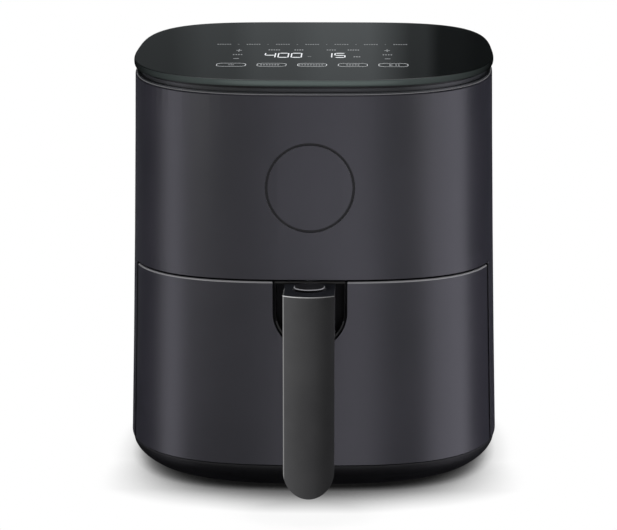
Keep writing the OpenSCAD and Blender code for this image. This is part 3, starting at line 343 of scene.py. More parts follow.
# Blends in a box: centre, half size, values and the least Y of the normal
for finish, centre, half, others, leastY in (
        # painted shade: black on the walls of the front opening, and a black strip along the joint down each
        # side standing for the gap's shadow
        ("satinBody", (0, -0.12, 0.130), (0.02725, 0.03, 0.0253), paintedShadeBlack, -0.8),
        ("satinBody", (0, -0.0529, 0.085), (0.2, 0.0026, 0.0715), paintedShadeBlack, -2),
        # painted highlights: pale lines on the pocket's rim and on the front of its top bar
        ("pocketBlack", (0, -0.1285, 0.115), (0.03, 0.0009, 0.011), tone(0.07, 0.07, 0.07), -2),
        ("pocketBlack", (0, -0.1285, 0.1544), (0.03, 0.0009, 0.0007), tone(0.035, 0.034, 0.034), -2),
        # painted highlights: thin pale lines on the edges of the handle, at its left side and its top, and on
        # the button's top edge
        ("gripSatin", (-0.01777, -0.165, 0.08), (0.00037, 0.02, 0.0735), tone(0.13, 0.13, 0.13), -2),
        ("gripSatin", (0, -0.17, 0.1526), (0.03, 0.02, 0.00035), tone(0.3, 0.3, 0.3), -2),
        ("buttonSatin", (0, -0.155, 0.1545), (0.03, 0.02, 0.0003), tone(0.5, 0.5, 0.52), -2)):
    blendInBox(finishes[finish], centre, half, others, leastY)

slotFinish = {
    "satin_body": "satinBody", "black_plastic": "blackMoulding", "panel_glass": "darkGlass",
    "grip_plastic": "gripSatin", "nonstick": "nonstick", "steel": "brightSteel",
    "sheet_steel": "galvanisedSheet", "heater_tube": "heaterTube", "stator_steel": "stackedSteel",
    "copper": "copperWire", "board": "greenBoard", "parts_blue": "componentCase", "rubber": "rubberFoot",
    "silicone": "softSilicone", "ceramic": "glazedCeramic"}
print("finishes made:", len(finishes))


# Trees

def newTree(name, inputs):
    tree = bpy.data.node_groups.new(name, "GeometryNodeTree")
    tree.interface.new_socket("Geometry", in_out="INPUT", socket_type="NodeSocketGeometry")
    for label, kind, value in inputs:
        socket = tree.interface.new_socket(label, in_out="INPUT", socket_type=kind)
        if value is not None:
            socket.default_value = value
    tree.interface.new_socket("Geometry", in_out="OUTPUT", socket_type="NodeSocketGeometry")
    start = addNode(tree, "NodeGroupInput", (-1200, 0))
    end = addNode(tree, "NodeGroupOutput", (1200, 0))
    return tree, start, end


def inputIds(tree):
    return {item.name: item.identifier for item in tree.interface.items_tree if item.in_out == "INPUT"}


# Ends a tree: plain geometry in one finish
def closeTree(tree, end, source):
    real = addNode(tree, "GeometryNodeRealizeInstances", (800, 0))
    paint = addNode(tree, "GeometryNodeSetMaterial", (1000, 0))
    start = next(n for n in tree.nodes if n.bl_idname == "NodeGroupInput")
    wire(tree, source, real.inputs[0])
    wire(tree, real.outputs[0], paint.inputs["Geometry"])
    wire(tree, start.outputs["Finish"], paint.inputs["Material"])
    wire(tree, paint.outputs[0], end.inputs[0])


# Runs a tree once and keeps the plain mesh
def grow(name, tree, values, place=Matrix()):
    holder = bpy.data.objects.new(name, bpy.data.meshes.new(name))
    scene.collection.objects.link(holder)
    run = holder.modifiers.new(tree.name, "NODES")
    run.node_group = tree
    ids = inputIds(tree)
    for label, value in values.items():
        run[ids[label]] = value
    bpy.context.view_layer.update()
    depsgraph = bpy.context.evaluated_depsgraph_get()
    mesh = bpy.data.meshes.new_from_object(holder.evaluated_get(depsgraph), depsgraph=depsgraph)
    holder.modifiers.remove(run)
    holder.data = mesh
    mesh.transform(place)
    mesh.name = name
    return holder


def addPiece(piece, body, replaced=()):
    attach(piece, body)
    if replaced:
        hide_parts(*replaced)
    return piece


# Joins a CAD node's loose triangles and keeps its real edges sharp
def makeSmoothTree():
    tree, start, end = newTree("smoothSkin", [("Angle", "NodeSocketFloat", 0.5)])
    merge = addNode(tree, "GeometryNodeMergeByDistance", (-800, 0))
    merge.inputs["Distance"].default_value = mergeReach
    angle = addNode(tree, "GeometryNodeInputMeshEdgeAngle", (-800, -250))
    sharp = addNode(tree, "FunctionNodeCompare", (-600, -250), data_type="FLOAT", operation="GREATER_THAN")
    allSmooth = addNode(tree, "GeometryNodeSetShadeSmooth", (-400, 0), domain="FACE")
    creases = addNode(tree, "GeometryNodeSetShadeSmooth", (0, 0), domain="EDGE")
    creases.inputs["Shade Smooth"].default_value = False
    wire(tree, start.outputs["Geometry"], merge.inputs["Geometry"])
    wire(tree, merge.outputs[0], allSmooth.inputs["Geometry"])
    wire(tree, allSmooth.outputs[0], creases.inputs["Geometry"])
    wire(tree, angle.outputs["Unsigned Angle"], sharp.inputs["A"])
    wire(tree, start.outputs["Angle"], sharp.inputs["B"])
    wire(tree, sharp.outputs["Result"], creases.inputs["Selection"])
    wire(tree, creases.outputs[0], end.inputs[0])
    return tree


smoothTree = makeSmoothTree()
angleInput = next(item.identifier for item in smoothTree.interface.items_tree if item.name == "Angle")
nodeSlots = {part["node"]: part["material_slot"] for part in frame["record"]["subparts"]}
for node, cadObject in frame["nodes"].items():
    cadObject.data.materials.clear()
    cadObject.data.materials.append(finishes[slotFinish[nodeSlots[node]]])
    smooth = cadObject.modifiers.new("smoothSkin", "NODES")
    smooth.node_group = smoothTree
    smooth[angleInput] = 0.2 if node in ("outer_shell", "drawer_front") else 0.5
for node, finish in (("trim_ring", "recessSatin"), ("release_button", "buttonSatin"),
                     ("handle_pocket", "pocketBlack"), ("drawer_frame", "pocketBlack"),
                     ("base_tray", "baseBlack")):
    frame["nodes"][node].data.materials[0] = finishes[finish]
print("finishes on the frame's nodes")


# Pieces

# A merged copy of a node with its edges rounded, which stands for the node
def roundedCopy(node, name, width, segments=2, limit=0.6):
    source = frame["nodes"][node]
    mesh = source.data.copy()
    mesh.name = name
    work = bmesh.new()
    work.from_mesh(mesh)
    bmesh.ops.remove_doubles(work, verts=work.verts, dist=mergeReach)
    bmesh.ops.dissolve_limit(work, angle_limit=0.02, verts=work.verts, edges=work.edges)
    work.to_mesh(mesh)
    work.free()
    for face in mesh.polygons:
        face.use_smooth = True
    piece = bpy.data.objects.new(name, mesh)
    scene.collection.objects.link(piece)
    bevel = piece.modifiers.new("edges", "BEVEL")
    bevel.width = width
    bevel.segments = segments
    bevel.limit_method = "ANGLE"
    bevel.angle_limit = limit
    weighted = piece.modifiers.new("flatFaces", "WEIGHTED_NORMAL")
    weighted.weight = 100
    depsgraph = bpy.context.evaluated_depsgraph_get()
    done = bpy.data.meshes.new_from_object(piece.evaluated_get(depsgraph), depsgraph=depsgraph)
    piece.modifiers.clear()
    piece.data = done
    addPiece(piece, source["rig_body"], (node,))
    return piece


handleEdges = {"grip": 1.0 * mm, "back": 0.5 * mm, "pocket": 0.3 * mm, "button": 0.5 * mm}
roundedCopy("handle_grip", "gripFront", handleEdges["grip"], 3)
roundedCopy("handle_back", "gripBack", handleEdges["back"])
roundedCopy("handle_pocket", "gripPocket", handleEdges["pocket"])
roundedCopy("release_button", "gripButton", handleEdges["button"])
print("handle rounded")


# One step of a tree's arithmetic
def calc(tree, operation, *values):
    node = addNode(tree, "ShaderNodeMath", (-500, 0), operation=operation)
    for index, value in enumerate(values):
        if isinstance(value, (int, float)):
            node.inputs[index].default_value = value
        else:
            wire(tree, value, node.inputs[index])
    return node.outputs[0]


ringInset = 0.8 * mm


# The glass top: a grid wrapped round a squared-off oval, with its rim rounded by a power of a sine
def makeGlassTree():
    tree, start, end = newTree("ovalGlass", [
        ("Half Width", "NodeSocketFloat", 0.137), ("Half Depth", "NodeSocketFloat", 0.15),
        ("Front Square W", "NodeSocketFloat", 3), ("Front Square D", "NodeSocketFloat", 3),
        ("Rear Square W", "NodeSocketFloat", 3), ("Rear Square D", "NodeSocketFloat", 3),
        ("Thick", "NodeSocketFloat", 0.005), ("Round", "NodeSocketFloat", 0.001),
        ("Bulge", "NodeSocketFloat", 0.4), ("Steps", "NodeSocketInt", 192), ("Rim Rows", "NodeSocketInt", 11),
        ("Finish", "NodeSocketMaterial", None)])
    ask = start.outputs
    grid = addNode(tree, "GeometryNodeMeshGrid", (-900, 200))
    grid.inputs["Size X"].default_value = 1
    grid.inputs["Size Y"].default_value = 1
    wire(tree, calc(tree, "ADD", ask["Steps"], 1), grid.inputs["Vertices X"])
    wire(tree, calc(tree, "ADD", ask["Rim Rows"], 4), grid.inputs["Vertices Y"])
    spot = addNode(tree, "ShaderNodeSeparateXYZ", (-900, -200))
    wire(tree, addNode(tree, "GeometryNodeInputPosition", (-1100, -200)).outputs[0], spot.inputs[0])
    turn = calc(tree, "MULTIPLY", calc(tree, "ADD", spot.outputs["X"], 0.5), math.tau)
    lastRow = calc(tree, "ADD", ask["Rim Rows"], 3)
    row = calc(tree, "MULTIPLY", calc(tree, "ADD", spot.outputs["Y"], 0.5), lastRow)

    # Rows, in turn: the middle, a ring inside the rim, the rim, the ring again, the middle again
    rimPart = calc(tree, "DIVIDE", calc(tree, "SUBTRACT", row, 2), calc(tree, "SUBTRACT", ask["Rim Rows"], 1))
    rimTurn = calc(tree, "MULTIPLY", calc(tree, "MAXIMUM", calc(tree, "MINIMUM", rimPart, 1), 0), math.pi)
    fromEnd = calc(tree, "MINIMUM", row, calc(tree, "SUBTRACT", lastRow, row))
    inRing = calc(tree, "LESS_THAN", fromEnd, 1.5)
    spread = calc(tree, "GREATER_THAN", fromEnd, 0.5)
    bulge = calc(tree, "POWER", calc(tree, "MAXIMUM", calc(tree, "SINE", rimTurn), 0), ask["Bulge"])
    inset = calc(tree, "ADD", calc(tree, "MULTIPLY", ask["Round"], calc(tree, "SUBTRACT", 1, bulge)),
                 calc(tree, "MULTIPLY", inRing, ringInset))
    height = calc(tree, "MULTIPLY", calc(tree, "MULTIPLY", ask["Thick"], 0.5),
                  calc(tree, "SUBTRACT", 1, calc(tree, "COSINE", rimTurn)))

    front = calc(tree, "LESS_THAN", calc(tree, "SINE", turn), 0)
    place = addNode(tree, "ShaderNodeCombineXYZ", (100, -200))
    for axis, wave, half, square in (("X", "COSINE", "Half Width", "W"), ("Y", "SINE", "Half Depth", "D")):
        rear, ahead = ask[f"Rear Square {square}"], ask[f"Front Square {square}"]
        power = calc(tree, "ADD", rear, calc(tree, "MULTIPLY", front, calc(tree, "SUBTRACT", ahead, rear)))
        swing = calc(tree, wave, turn)
        size = calc(tree, "POWER", calc(tree, "ABSOLUTE", swing), calc(tree, "DIVIDE", 2, power))
        side = calc(tree, "MULTIPLY", calc(tree, "SIGN", swing), size)
        reach = calc(tree, "MULTIPLY", calc(tree, "SUBTRACT", ask[half], inset), spread)
        wire(tree, calc(tree, "MULTIPLY", side, reach), place.inputs[axis])
    wire(tree, height, place.inputs["Z"])
    shaped = addNode(tree, "GeometryNodeSetPosition", (300, 200))
    joined = addNode(tree, "GeometryNodeMergeByDistance", (450, 200))
    joined.inputs["Distance"].default_value = mergeReach / 2
    smooth = addNode(tree, "GeometryNodeSetShadeSmooth", (600, 200), domain="FACE")
    wire(tree, grid.outputs["Mesh"], shaped.inputs["Geometry"])
    wire(tree, place.outputs[0], shaped.inputs["Position"])
    wire(tree, shaped.outputs[0], joined.inputs["Geometry"])
    wire(tree, joined.outputs[0], smooth.inputs["Geometry"])
    closeTree(tree, end, smooth.outputs[0])
    return tree


panelTop = Matrix.Translation(topMiddle) @ Matrix.Rotation(topTilt, 4, "X")
glassShape = {"Half Width": 137.2 * mm, "Half Depth": 150.03 * mm,
              "Front Square W": 3.04, "Front Square D": 2.74, "Rear Square W": 4.33, "Rear Square D": 3.03,
              "Thick": 4.8 * mm, "Round": 1.2 * mm, "Bulge": 0.45, "Steps": 192, "Rim Rows": 13,
              "Finish": finishes["darkGlass"]}
glassTop = grow("glassTop", makeGlassTree(), glassShape, panelTop @ Matrix.Translation((0, 0, 5.75 * mm)))
addPiece(glassTop, "housing", ("control_panel",))
print("glass made:", len(glassTop.data.polygons), "faces")

# The printed marks of the control panel, in millimetres on its top
panelMarks = {"height": 10.57, "thick": 0.03,
              "digitY": -34, "digitDepth": 20.5, "digitWidth": 7.6, "digitStep": 10, "stroke": 0.92,
              "keyX": -60, "keyY": -80.6, "keyDepth": 15, "keyWidth": 21.5, "keyStep": 30, "keyCorner": 5,
              "keyLine": 0.32, "keyCount": 5,
              "labelX": -76.2, "labelY": 22, "labelStep": 23, "labelCount": 7}


# Printed marks, lit from below
def markFinish(name, low, high, strength):
    paint = bpy.data.materials.new(name)
    paint.use_nodes = True
    tree = paint.node_tree
    shader = tree.nodes["Principled BSDF"]
    spot = addNode(tree, "ShaderNodeTexCoord", (-700, 0))
    noise = addNode(tree, "ShaderNodeTexNoise", (-500, 0))
    noise.inputs["Scale"].default_value = 900
    ramp = addNode(tree, "ShaderNodeValToRGB", (-300, 0))
    ramp.color_ramp.elements[0].color = (*low, 1)
    ramp.color_ramp.elements[1].color = (*high, 1)
    wire(tree, spot.outputs["Object"], noise.inputs["Vector"])
    wire(tree, noise.outputs["Fac"], ramp.inputs["Fac"])
    wire(tree, ramp.outputs["Color"], shader.inputs["Base Color"])
    wire(tree, ramp.outputs["Color"], shader.inputs["Emission Color"])
    shader.inputs["Emission Strength"].default_value = strength
    shader.inputs["Roughness"].default_value = 0.4
    return paint


glow = markFinish("litMark", (0.62, 0.64, 0.66), (0.9, 0.92, 0.94), 0.7)
dimGlow = markFinish("printedMark", (0.22, 0.23, 0.24), (0.36, 0.37, 0.38), 0.35)

segmentsOn = {"0": "abcdef", "1": "bc", "4": "fgbc", "5": "afgcd"}


# A flat polygon with a thin edge, drawn on the panel in millimetres
def addFlat(work, outline, low, thick):
    lower = [work.verts.new((x, y, low)) for x, y in outline]
    upper = [work.verts.new((x, y, low + thick)) for x, y in outline]
    work.faces.new(upper)
    work.faces.new(lower[::-1])
    count = len(outline)
    for i in range(count):
        j = (i + 1) % count
        work.faces.new((lower[i], lower[j], upper[j], upper[i]))


def bar(x0, y0, x1, y1, stroke):
    along = Vector((x1 - x0, y1 - y0)).normalized()
    side = Vector((-along.y, along.x)) * stroke / 2
    tip = along * stroke / 2
    a, b = Vector((x0, y0)), Vector((x1, y1))
    return [tuple(v) for v in (a, a + tip - side, b - tip - side, b, b - tip + side, a + tip + side)]


def digitBars(digit, x, y, width, depth, stroke):
    w, d = width / 2, depth / 2
    g = stroke * 0.12
    ends = {"a": (-w, d, w, d), "g": (-w, 0, w, 0), "d": (-w, -d, w, -d), "f": (-w, 0, -w, d),
            "b": (w, 0, w, d), "e": (-w, -d, -w, 0), "c": (w, -d, w, 0)}
    bars = []
    for key in segmentsOn[digit]:
        x0, y0, x1, y1 = ends[key]
        gapX, gapY = (g, 0) if key in "agd" else (0, g)
        thick = stroke * 3 if key in "agd" else stroke
        bars.append(bar(x + x0 + gapX, y + y0 + gapY, x + x1 - gapX, y + y1 - gapY, thick))
    return bars


def ring(x, y, radius, stroke, parts=24, start=0.0, sweep=1.0):
    flats = []
    for k in range(int(parts * sweep)):
        a, b = (start + k / parts) * math.tau, (start + (k + 1) / parts) * math.tau
        flats.append([(x + (radius - stroke) * math.cos(a), y + (radius - stroke) * math.sin(a)),
                      (x + radius * math.cos(a), y + radius * math.sin(a)),
                      (x + radius * math.cos(b), y + radius * math.sin(b)),
                      (x + (radius - stroke) * math.cos(b), y + (radius - stroke) * math.sin(b))])
    return flats


def makeMarks(name, outlines, paint):
    work = bmesh.new()
    for outline in outlines:
        addFlat(work, outline, panelMarks["height"], panelMarks["thick"])
    bmesh.ops.recalc_face_normals(work, faces=work.faces)
    mesh = bpy.data.meshes.new(name)
    work.to_mesh(mesh)
    work.free()
    mesh.transform(panelTop @ Matrix.Scale(mm, 4))
    mesh.materials.append(paint)
    piece = bpy.data.objects.new(name, mesh)
    scene.collection.objects.link(piece)
    return addPiece(piece, "housing")


def rect(x, y, w, d):
    return [(x - w / 2, y - d / 2), (x + w / 2, y - d / 2), (x + w / 2, y + d / 2), (x - w / 2, y + d / 2)]


# A word's letters as short bars about its middle
def wordBars(x, y, count, step, width, depth):
    return [rect(x + (k - count / 2 + 0.5) * step, y, width, depth) for k in range(count)]


p = panelMarks
digits = []
for text, left in (("400", -33), ("15", 10)):
    for k, digit in enumerate(text):
        digits += digitBars(digit, left + k * p["digitStep"], p["digitY"], p["digitWidth"], p["digitDepth"],
                            p["stroke"])
makeMarks("displayDigits", digits, glow)

# Plus and minus at each side of the digits, with a word between them
small = []
for x in (-58, 56):
    small += [rect(x, -9.7, 4.2, 2.4), rect(x, -9.7, 0.8, 12), rect(x, -50.7, 4.2, 2.4)]
    small += wordBars(x, -31, 4, 2, 1.1, 4)
# Words above the digits, the degree ring and the unit beside them
for x, count in ((-31, 5), (-12, 4), (13, 4), (30, 5)):
    small += wordBars(x, -7, count, 1.9, 1.2, 4.4)
small += ring(-3, -40, 1.4, 0.5, 12) + wordBars(32.9, -41, 3, 1.9, 1.2, 4.6)
# Inside the keys: a power sign, three words and a start sign
for x, count in ((-31.5, 7), (-1, 9), (30, 5)):
    small += wordBars(x, p["keyY"], count, 2.1, 1.3, 4.6)
small += ring(-60, p["keyY"], 2.2, 0.7, 20, 0.33, 0.85) + [rect(-60, p["keyY"] + 2.2, 0.6, 3.5)]
small += [[(57, p["keyY"] - 4), (60, p["keyY"]), (57, p["keyY"] + 4)]]
small += [rect(x, p["keyY"], 0.8, 7) for x in (62, 64)]
makeMarks("smallMarks", small, dimGlow)


# Key outlines: one rounded frame, repeated along a row
def makeKeyTree():
    tree, start, end = newTree("keyRow", [
        ("Count", "NodeSocketInt", 5), ("Step", "NodeSocketFloat", 0.03), ("Width", "NodeSocketFloat", 0.02),
        ("Depth", "NodeSocketFloat", 0.02), ("Corner", "NodeSocketFloat", 0.004),
        ("Line", "NodeSocketFloat", 0.0005), ("Thick", "NodeSocketFloat", 0.00003),
        ("Finish", "NodeSocketMaterial", None)])
    outline = addNode(tree, "GeometryNodeCurvePrimitiveQuadrilateral", (-900, 200))
    rounded = addNode(tree, "GeometryNodeFilletCurve", (-700, 200))
    line = addNode(tree, "GeometryNodeCurvePrimitiveQuadrilateral", (-700, -100))
    skin = addNode(tree, "GeometryNodeCurveToMesh", (-450, 200))
    row = addNode(tree, "GeometryNodeMeshLine", (-450, -200))
    step = addNode(tree, "ShaderNodeCombineXYZ", (-700, -350))
    copies = addNode(tree, "GeometryNodeInstanceOnPoints", (0, 0))
    setFillet(rounded, 6)
    ask = start.outputs
    for source, target in (
            (ask["Width"], outline.inputs["Width"]), (ask["Depth"], outline.inputs["Height"]),
            (outline.outputs["Curve"], rounded.inputs["Curve"]), (ask["Corner"], rounded.inputs["Radius"]),
            (ask["Line"], line.inputs["Width"]), (ask["Thick"], line.inputs["Height"]),
            (rounded.outputs["Curve"], skin.inputs["Curve"]),
            (line.outputs["Curve"], skin.inputs["Profile Curve"]),
            (ask["Step"], step.inputs["X"]), (ask["Count"], row.inputs["Count"]),
            (step.outputs[0], row.inputs["Offset"]), (row.outputs["Mesh"], copies.inputs["Points"]),
            (skin.outputs["Mesh"], copies.inputs["Instance"])):
        wire(tree, source, target)
    closeTree(tree, end, copies.outputs[0])
    return tree


# The corner rounding is a menu input in some versions and a setting in others
def setFillet(node, count):
    if "Mode" in node.inputs:
        node.inputs["Mode"].default_value = "Poly"
    else:
        node.mode = "POLY"
    node.inputs["Count"].default_value = count


def onPanel(x, y):
    return panelTop @ Matrix.Translation((x * mm, y * mm, (p["height"] + p["thick"] / 2) * mm))


keyRow = grow("keyOutlines", makeKeyTree(), {
    "Count": p["keyCount"], "Step": p["keyStep"] * mm, "Width": p["keyWidth"] * mm,
    "Depth": p["keyDepth"] * mm, "Corner": p["keyCorner"] * mm, "Line": p["keyLine"] * mm,
    "Thick": p["thick"] * mm, "Finish": glow}, onPanel(p["keyX"], p["keyY"]))
addPiece(keyRow, "housing")


# The row of small labels: words of short letters, with a dot between one word and the next
def makeLabelTree():
    tree, start, end = newTree("labelRow", [
        ("Words", "NodeSocketInt", 7), ("Step", "NodeSocketFloat", 0.023), ("Letters", "NodeSocketInt", 6),
        ("Letter Step", "NodeSocketFloat", 0.002), ("Letter Width", "NodeSocketFloat", 0.001),
        ("Letter Depth", "NodeSocketFloat", 0.003), ("Dot", "NodeSocketFloat", 0.0008),
        ("Dot Place", "NodeSocketFloat", 0.5), ("Thick", "NodeSocketFloat", 0.00003),
        ("Finish", "NodeSocketMaterial", None)])
    ask = start.outputs
    size = addNode(tree, "ShaderNodeCombineXYZ", (-900, 200))
    letter = addNode(tree, "GeometryNodeMeshCube", (-700, 200))
    letterStep = addNode(tree, "ShaderNodeCombineXYZ", (-900, 450))
    letters = addNode(tree, "GeometryNodeMeshLine", (-700, 450))
    word = addNode(tree, "GeometryNodeInstanceOnPoints", (-450, 300))
    dotMesh = addNode(tree, "GeometryNodeMeshCylinder", (-700, -50))
    dotMesh.inputs["Vertices"].default_value = 12
    dotPlace = addNode(tree, "GeometryNodeTransform", (-450, -50))
    dotVector = addNode(tree, "ShaderNodeCombineXYZ", (-550, -300))
    both = addNode(tree, "GeometryNodeJoinGeometry", (250, 100))
    row = addNode(tree, "GeometryNodeMeshLine", (-250, -200))
    step = addNode(tree, "ShaderNodeCombineXYZ", (-450, -400))
    copies = addNode(tree, "GeometryNodeInstanceOnPoints", (0, 0))
    dotRow = addNode(tree, "GeometryNodeMeshLine", (-250, -450))
    dotCopies = addNode(tree, "GeometryNodeInstanceOnPoints", (0, -300))
    for source, target in (
            (ask["Letter Width"], size.inputs["X"]), (ask["Letter Depth"], size.inputs["Y"]),
            (ask["Thick"], size.inputs["Z"]), (size.outputs[0], letter.inputs["Size"]),
            (ask["Letter Step"], letterStep.inputs["X"]), (ask["Letters"], letters.inputs["Count"]),
            (letterStep.outputs[0], letters.inputs["Offset"]), (letters.outputs["Mesh"], word.inputs["Points"]),
            (letter.outputs["Mesh"], word.inputs["Instance"]), (ask["Step"], step.inputs["X"]),
            (ask["Words"], row.inputs["Count"]), (step.outputs[0], row.inputs["Offset"]),
            (row.outputs["Mesh"], copies.inputs["Points"]), (word.outputs[0], copies.inputs["Instance"]),
            (ask["Dot"], dotMesh.inputs["Radius"]), (ask["Thick"], dotMesh.inputs["Depth"]),
            (calc(tree, "MULTIPLY", ask["Step"], ask["Dot Place"]), dotVector.inputs["X"]),
            (dotMesh.outputs["Mesh"], dotPlace.inputs["Geometry"]),
            (dotVector.outputs[0], dotPlace.inputs["Translation"]),
            (calc(tree, "SUBTRACT", ask["Words"], 1), dotRow.inputs["Count"]),
            (step.outputs[0], dotRow.inputs["Offset"]), (dotRow.outputs["Mesh"], dotCopies.inputs["Points"]),
            (dotPlace.outputs[0], dotCopies.inputs["Instance"]), (copies.outputs[0], both.inputs[0]),
            (dotCopies.outputs[0], both.inputs[0])):
        wire(tree, source, target)
    closeTree(tree, end, both.outputs[0])
    return tree


labelRow = grow("programLabels", makeLabelTree(), {
    "Words": p["labelCount"], "Step": p["labelStep"] * mm, "Letters": 6, "Letter Step": 1.9 * mm,
    "Letter Width": 1.2 * mm, "Letter Depth": 3 * mm, "Dot": 0.6 * mm, "Dot Place": 0.7,
    "Thick": p["thick"] * mm, "Finish": dimGlow}, onPanel(p["labelX"], p["labelY"]))
addPiece(labelRow, "housing")
print("panel marks made")


# The camera stands in front, a little to the right, looking down
cameraSettings = {"distance": 1.7038, "height": 0.4513, "azimuth": 1.3, "pitch": 10.37, "lens": 128.1,
                  "shift": -0.01}
cameraData = bpy.data.cameras.new("camera")
camera = bpy.data.objects.new("camera", cameraData)
scene.collection.objects.link(camera)
turnAngle = math.radians(cameraSettings["azimuth"])
camera.location = bodyMiddle + Matrix.Rotation(turnAngle, 3, "Z") @ Vector(
    (0, -cameraSettings["distance"], cameraSettings["height"]))
camera.rotation_euler = (math.radians(90 - cameraSettings["pitch"]), 0, turnAngle)
cameraData.lens = cameraSettings["lens"]
cameraData.sensor_width = 36
cameraData.shift_x = cameraSettings["shift"]
cameraData.clip_start = 0.05
cameraData.clip_end = 20
scene.camera = camera


# Floor and surroundings: white where they are seen or mirrored, with the object's shadow kept
def seenRay(tree, place):
    path = addNode(tree, "ShaderNodeLightPath", place)
    first = addNode(tree, "ShaderNodeMath", (place[0] + 200, place[1]), operation="MAXIMUM")
    both = addNode(tree, "ShaderNodeMath", (place[0] + 400, place[1]), operation="MAXIMUM")
    wire(tree, path.outputs["Is Camera Ray"], first.inputs[0])
    wire(tree, path.outputs["Is Glossy Ray"], first.inputs[1])
    wire(tree, first.outputs[0], both.inputs[0])
    wire(tree, path.outputs["Is Transmission Ray"], both.inputs[1])
    return both.outputs[0]


surroundings = {"ambient": 0.3, "shadowReach": 0.06, "shadowLean": (0, 0.6, 0.8),
                "shadowStops": ((0.14, 0.004), (0.22, 0.045), (0.32, 0.11), (0.4, 0.2), (0.5, 0.34),
                                (0.6, 0.53), (0.75, 0.77), (0.95, 1)),
                "sideFade": (-0.13, -0.05, 1, 1.38),
                "frontScale": (-5, -0.5),
                "frontFade": ((0.2, 0), (0.225, 0.2), (0.45, 0.95), (0.7, 0.95), (0.9, 0))}
world = bpy.data.worlds.new("studio")
scene.world = world
world.use_nodes = True
worldTree = world.node_tree
worldTree.nodes.clear()
worldOut = addNode(worldTree, "ShaderNodeOutputWorld", (600, 0))
worldMix = addNode(worldTree, "ShaderNodeMixShader", (400, 0))
fill = addNode(worldTree, "ShaderNodeBackground", (150, -100))
fill.inputs["Color"].default_value = (1, 1, 1, 1)
fill.inputs["Strength"].default_value = surroundings["ambient"]
white = addNode(worldTree, "ShaderNodeBackground", (150, -250))
white.inputs["Color"].default_value = (1, 1, 1, 1)
white.inputs["Strength"].default_value = 1.0
wire(worldTree, seenRay(worldTree, (-500, 200)), worldMix.inputs[0])
wire(worldTree, fill.outputs[0], worldMix.inputs[1])
wire(worldTree, white.outputs[0], worldMix.inputs[2])
wire(worldTree, worldMix.outputs[0], worldOut.inputs[0])

floorMesh = bpy.data.meshes.new("floor")
floorWork = bmesh.new()
bmesh.ops.create_grid(floorWork, x_segments=8, y_segments=8, size=4)
floorWork.to_mesh(floorMesh)
floorWork.free()
floor = bpy.data.objects.new("floor", floorMesh)
scene.collection.objects.link(floor)
floorPaint = bpy.data.materials.new("paleFloor")
floorPaint.use_nodes = True
floorTree = floorPaint.node_tree
floorShader = floorTree.nodes["Principled BSDF"]
floorShader.inputs["Base Color"].default_value = (0.86, 0.86, 0.86, 1)
floorShader.inputs["Roughness"].default_value = 0.9
floorShader.inputs["Specular IOR Level"].default_value = 0.1
floorOut = floorTree.nodes["Material Output"]
floorWhite = addNode(floorTree, "ShaderNodeEmission", (0, -200))
floorBlend = addNode(floorTree, "ShaderNodeMixShader", (300, 0))
# The shadow leans to the front: it is the share of the space behind and above a spot that the object fills; its
# shape is then painted by place on the floor, paler to the sides and lifted in front
floorLean = addNode(floorTree, "ShaderNodeCombineXYZ", (-1100, -200))
for label, value in zip("XYZ", surroundings["shadowLean"]):
    floorLean.inputs[label].default_value = value
floorShade = addNode(floorTree, "ShaderNodeAmbientOcclusion", (-900, -200), samples=32)
floorShade.inputs["Distance"].default_value = surroundings["shadowReach"]
wire(floorTree, floorLean.outputs[0], floorShade.inputs["Normal"])
floorSpot = addNode(floorTree, "ShaderNodeTexCoord", (-1300, -500))
floorAxes = addNode(floorTree, "ShaderNodeSeparateXYZ", (-1100, -500))
wire(floorTree, floorSpot.outputs["Object"], floorAxes.inputs[0])
# painted shadow shape: the shadow is made paler on the floor beside and behind the body's front
sideFade = addNode(floorTree, "ShaderNodeMapRange", (-900, -450))
for label, value in zip(("From Min", "From Max", "To Min", "To Max"), surroundings["sideFade"]):
    sideFade.inputs[label].default_value = value
wire(floorTree, floorAxes.outputs["Y"], sideFade.inputs["Value"])
faded = addNode(floorTree, "ShaderNodeMath", (-700, -300), operation="MULTIPLY")
wire(floorTree, floorShade.outputs["AO"], faded.inputs[0])
wire(floorTree, sideFade.outputs["Result"], faded.inputs[1])


def floorRamp(stops, source, place):
    ramp = addNode(floorTree, "ShaderNodeValToRGB", place)
    for index, (at, shade) in enumerate(stops):
        stop = ramp.color_ramp.elements[index] if index < 2 else ramp.color_ramp.elements.new(at)
        stop.position = at
        stop.color = (shade, shade, shade, 1)
    wire(floorTree, source, ramp.inputs["Fac"])
    return ramp.outputs["Color"]


# painted shadow shape: a band of floor in front of the body, under the handle, is lifted towards white
aheadPlace = addNode(floorTree, "ShaderNodeMath", (-900, -700), operation="MULTIPLY_ADD")
aheadPlace.inputs[1].default_value, aheadPlace.inputs[2].default_value = surroundings["frontScale"]
wire(floorTree, floorAxes.outputs["Y"], aheadPlace.inputs[0])
paler = addNode(floorTree, "ShaderNodeMath", (-100, -350), operation="MAXIMUM")
wire(floorTree, floorRamp(surroundings["shadowStops"], faded.outputs[0], (-500, -250)), paler.inputs[0])
wire(floorTree, floorRamp(surroundings["frontFade"], aheadPlace.outputs[0], (-500, -600)), paler.inputs[1])
wire(floorTree, paler.outputs[0], floorWhite.inputs["Color"])
wire(floorTree, seenRay(floorTree, (-700, 300)), floorBlend.inputs[0])
wire(floorTree, floorShader.outputs[0], floorBlend.inputs[1])
wire(floorTree, floorWhite.outputs[0], floorBlend.inputs[2])
wire(floorTree, floorBlend.outputs[0], floorOut.inputs[0])
floor.visible_glossy = False
floorMesh.materials.append(floorPaint)


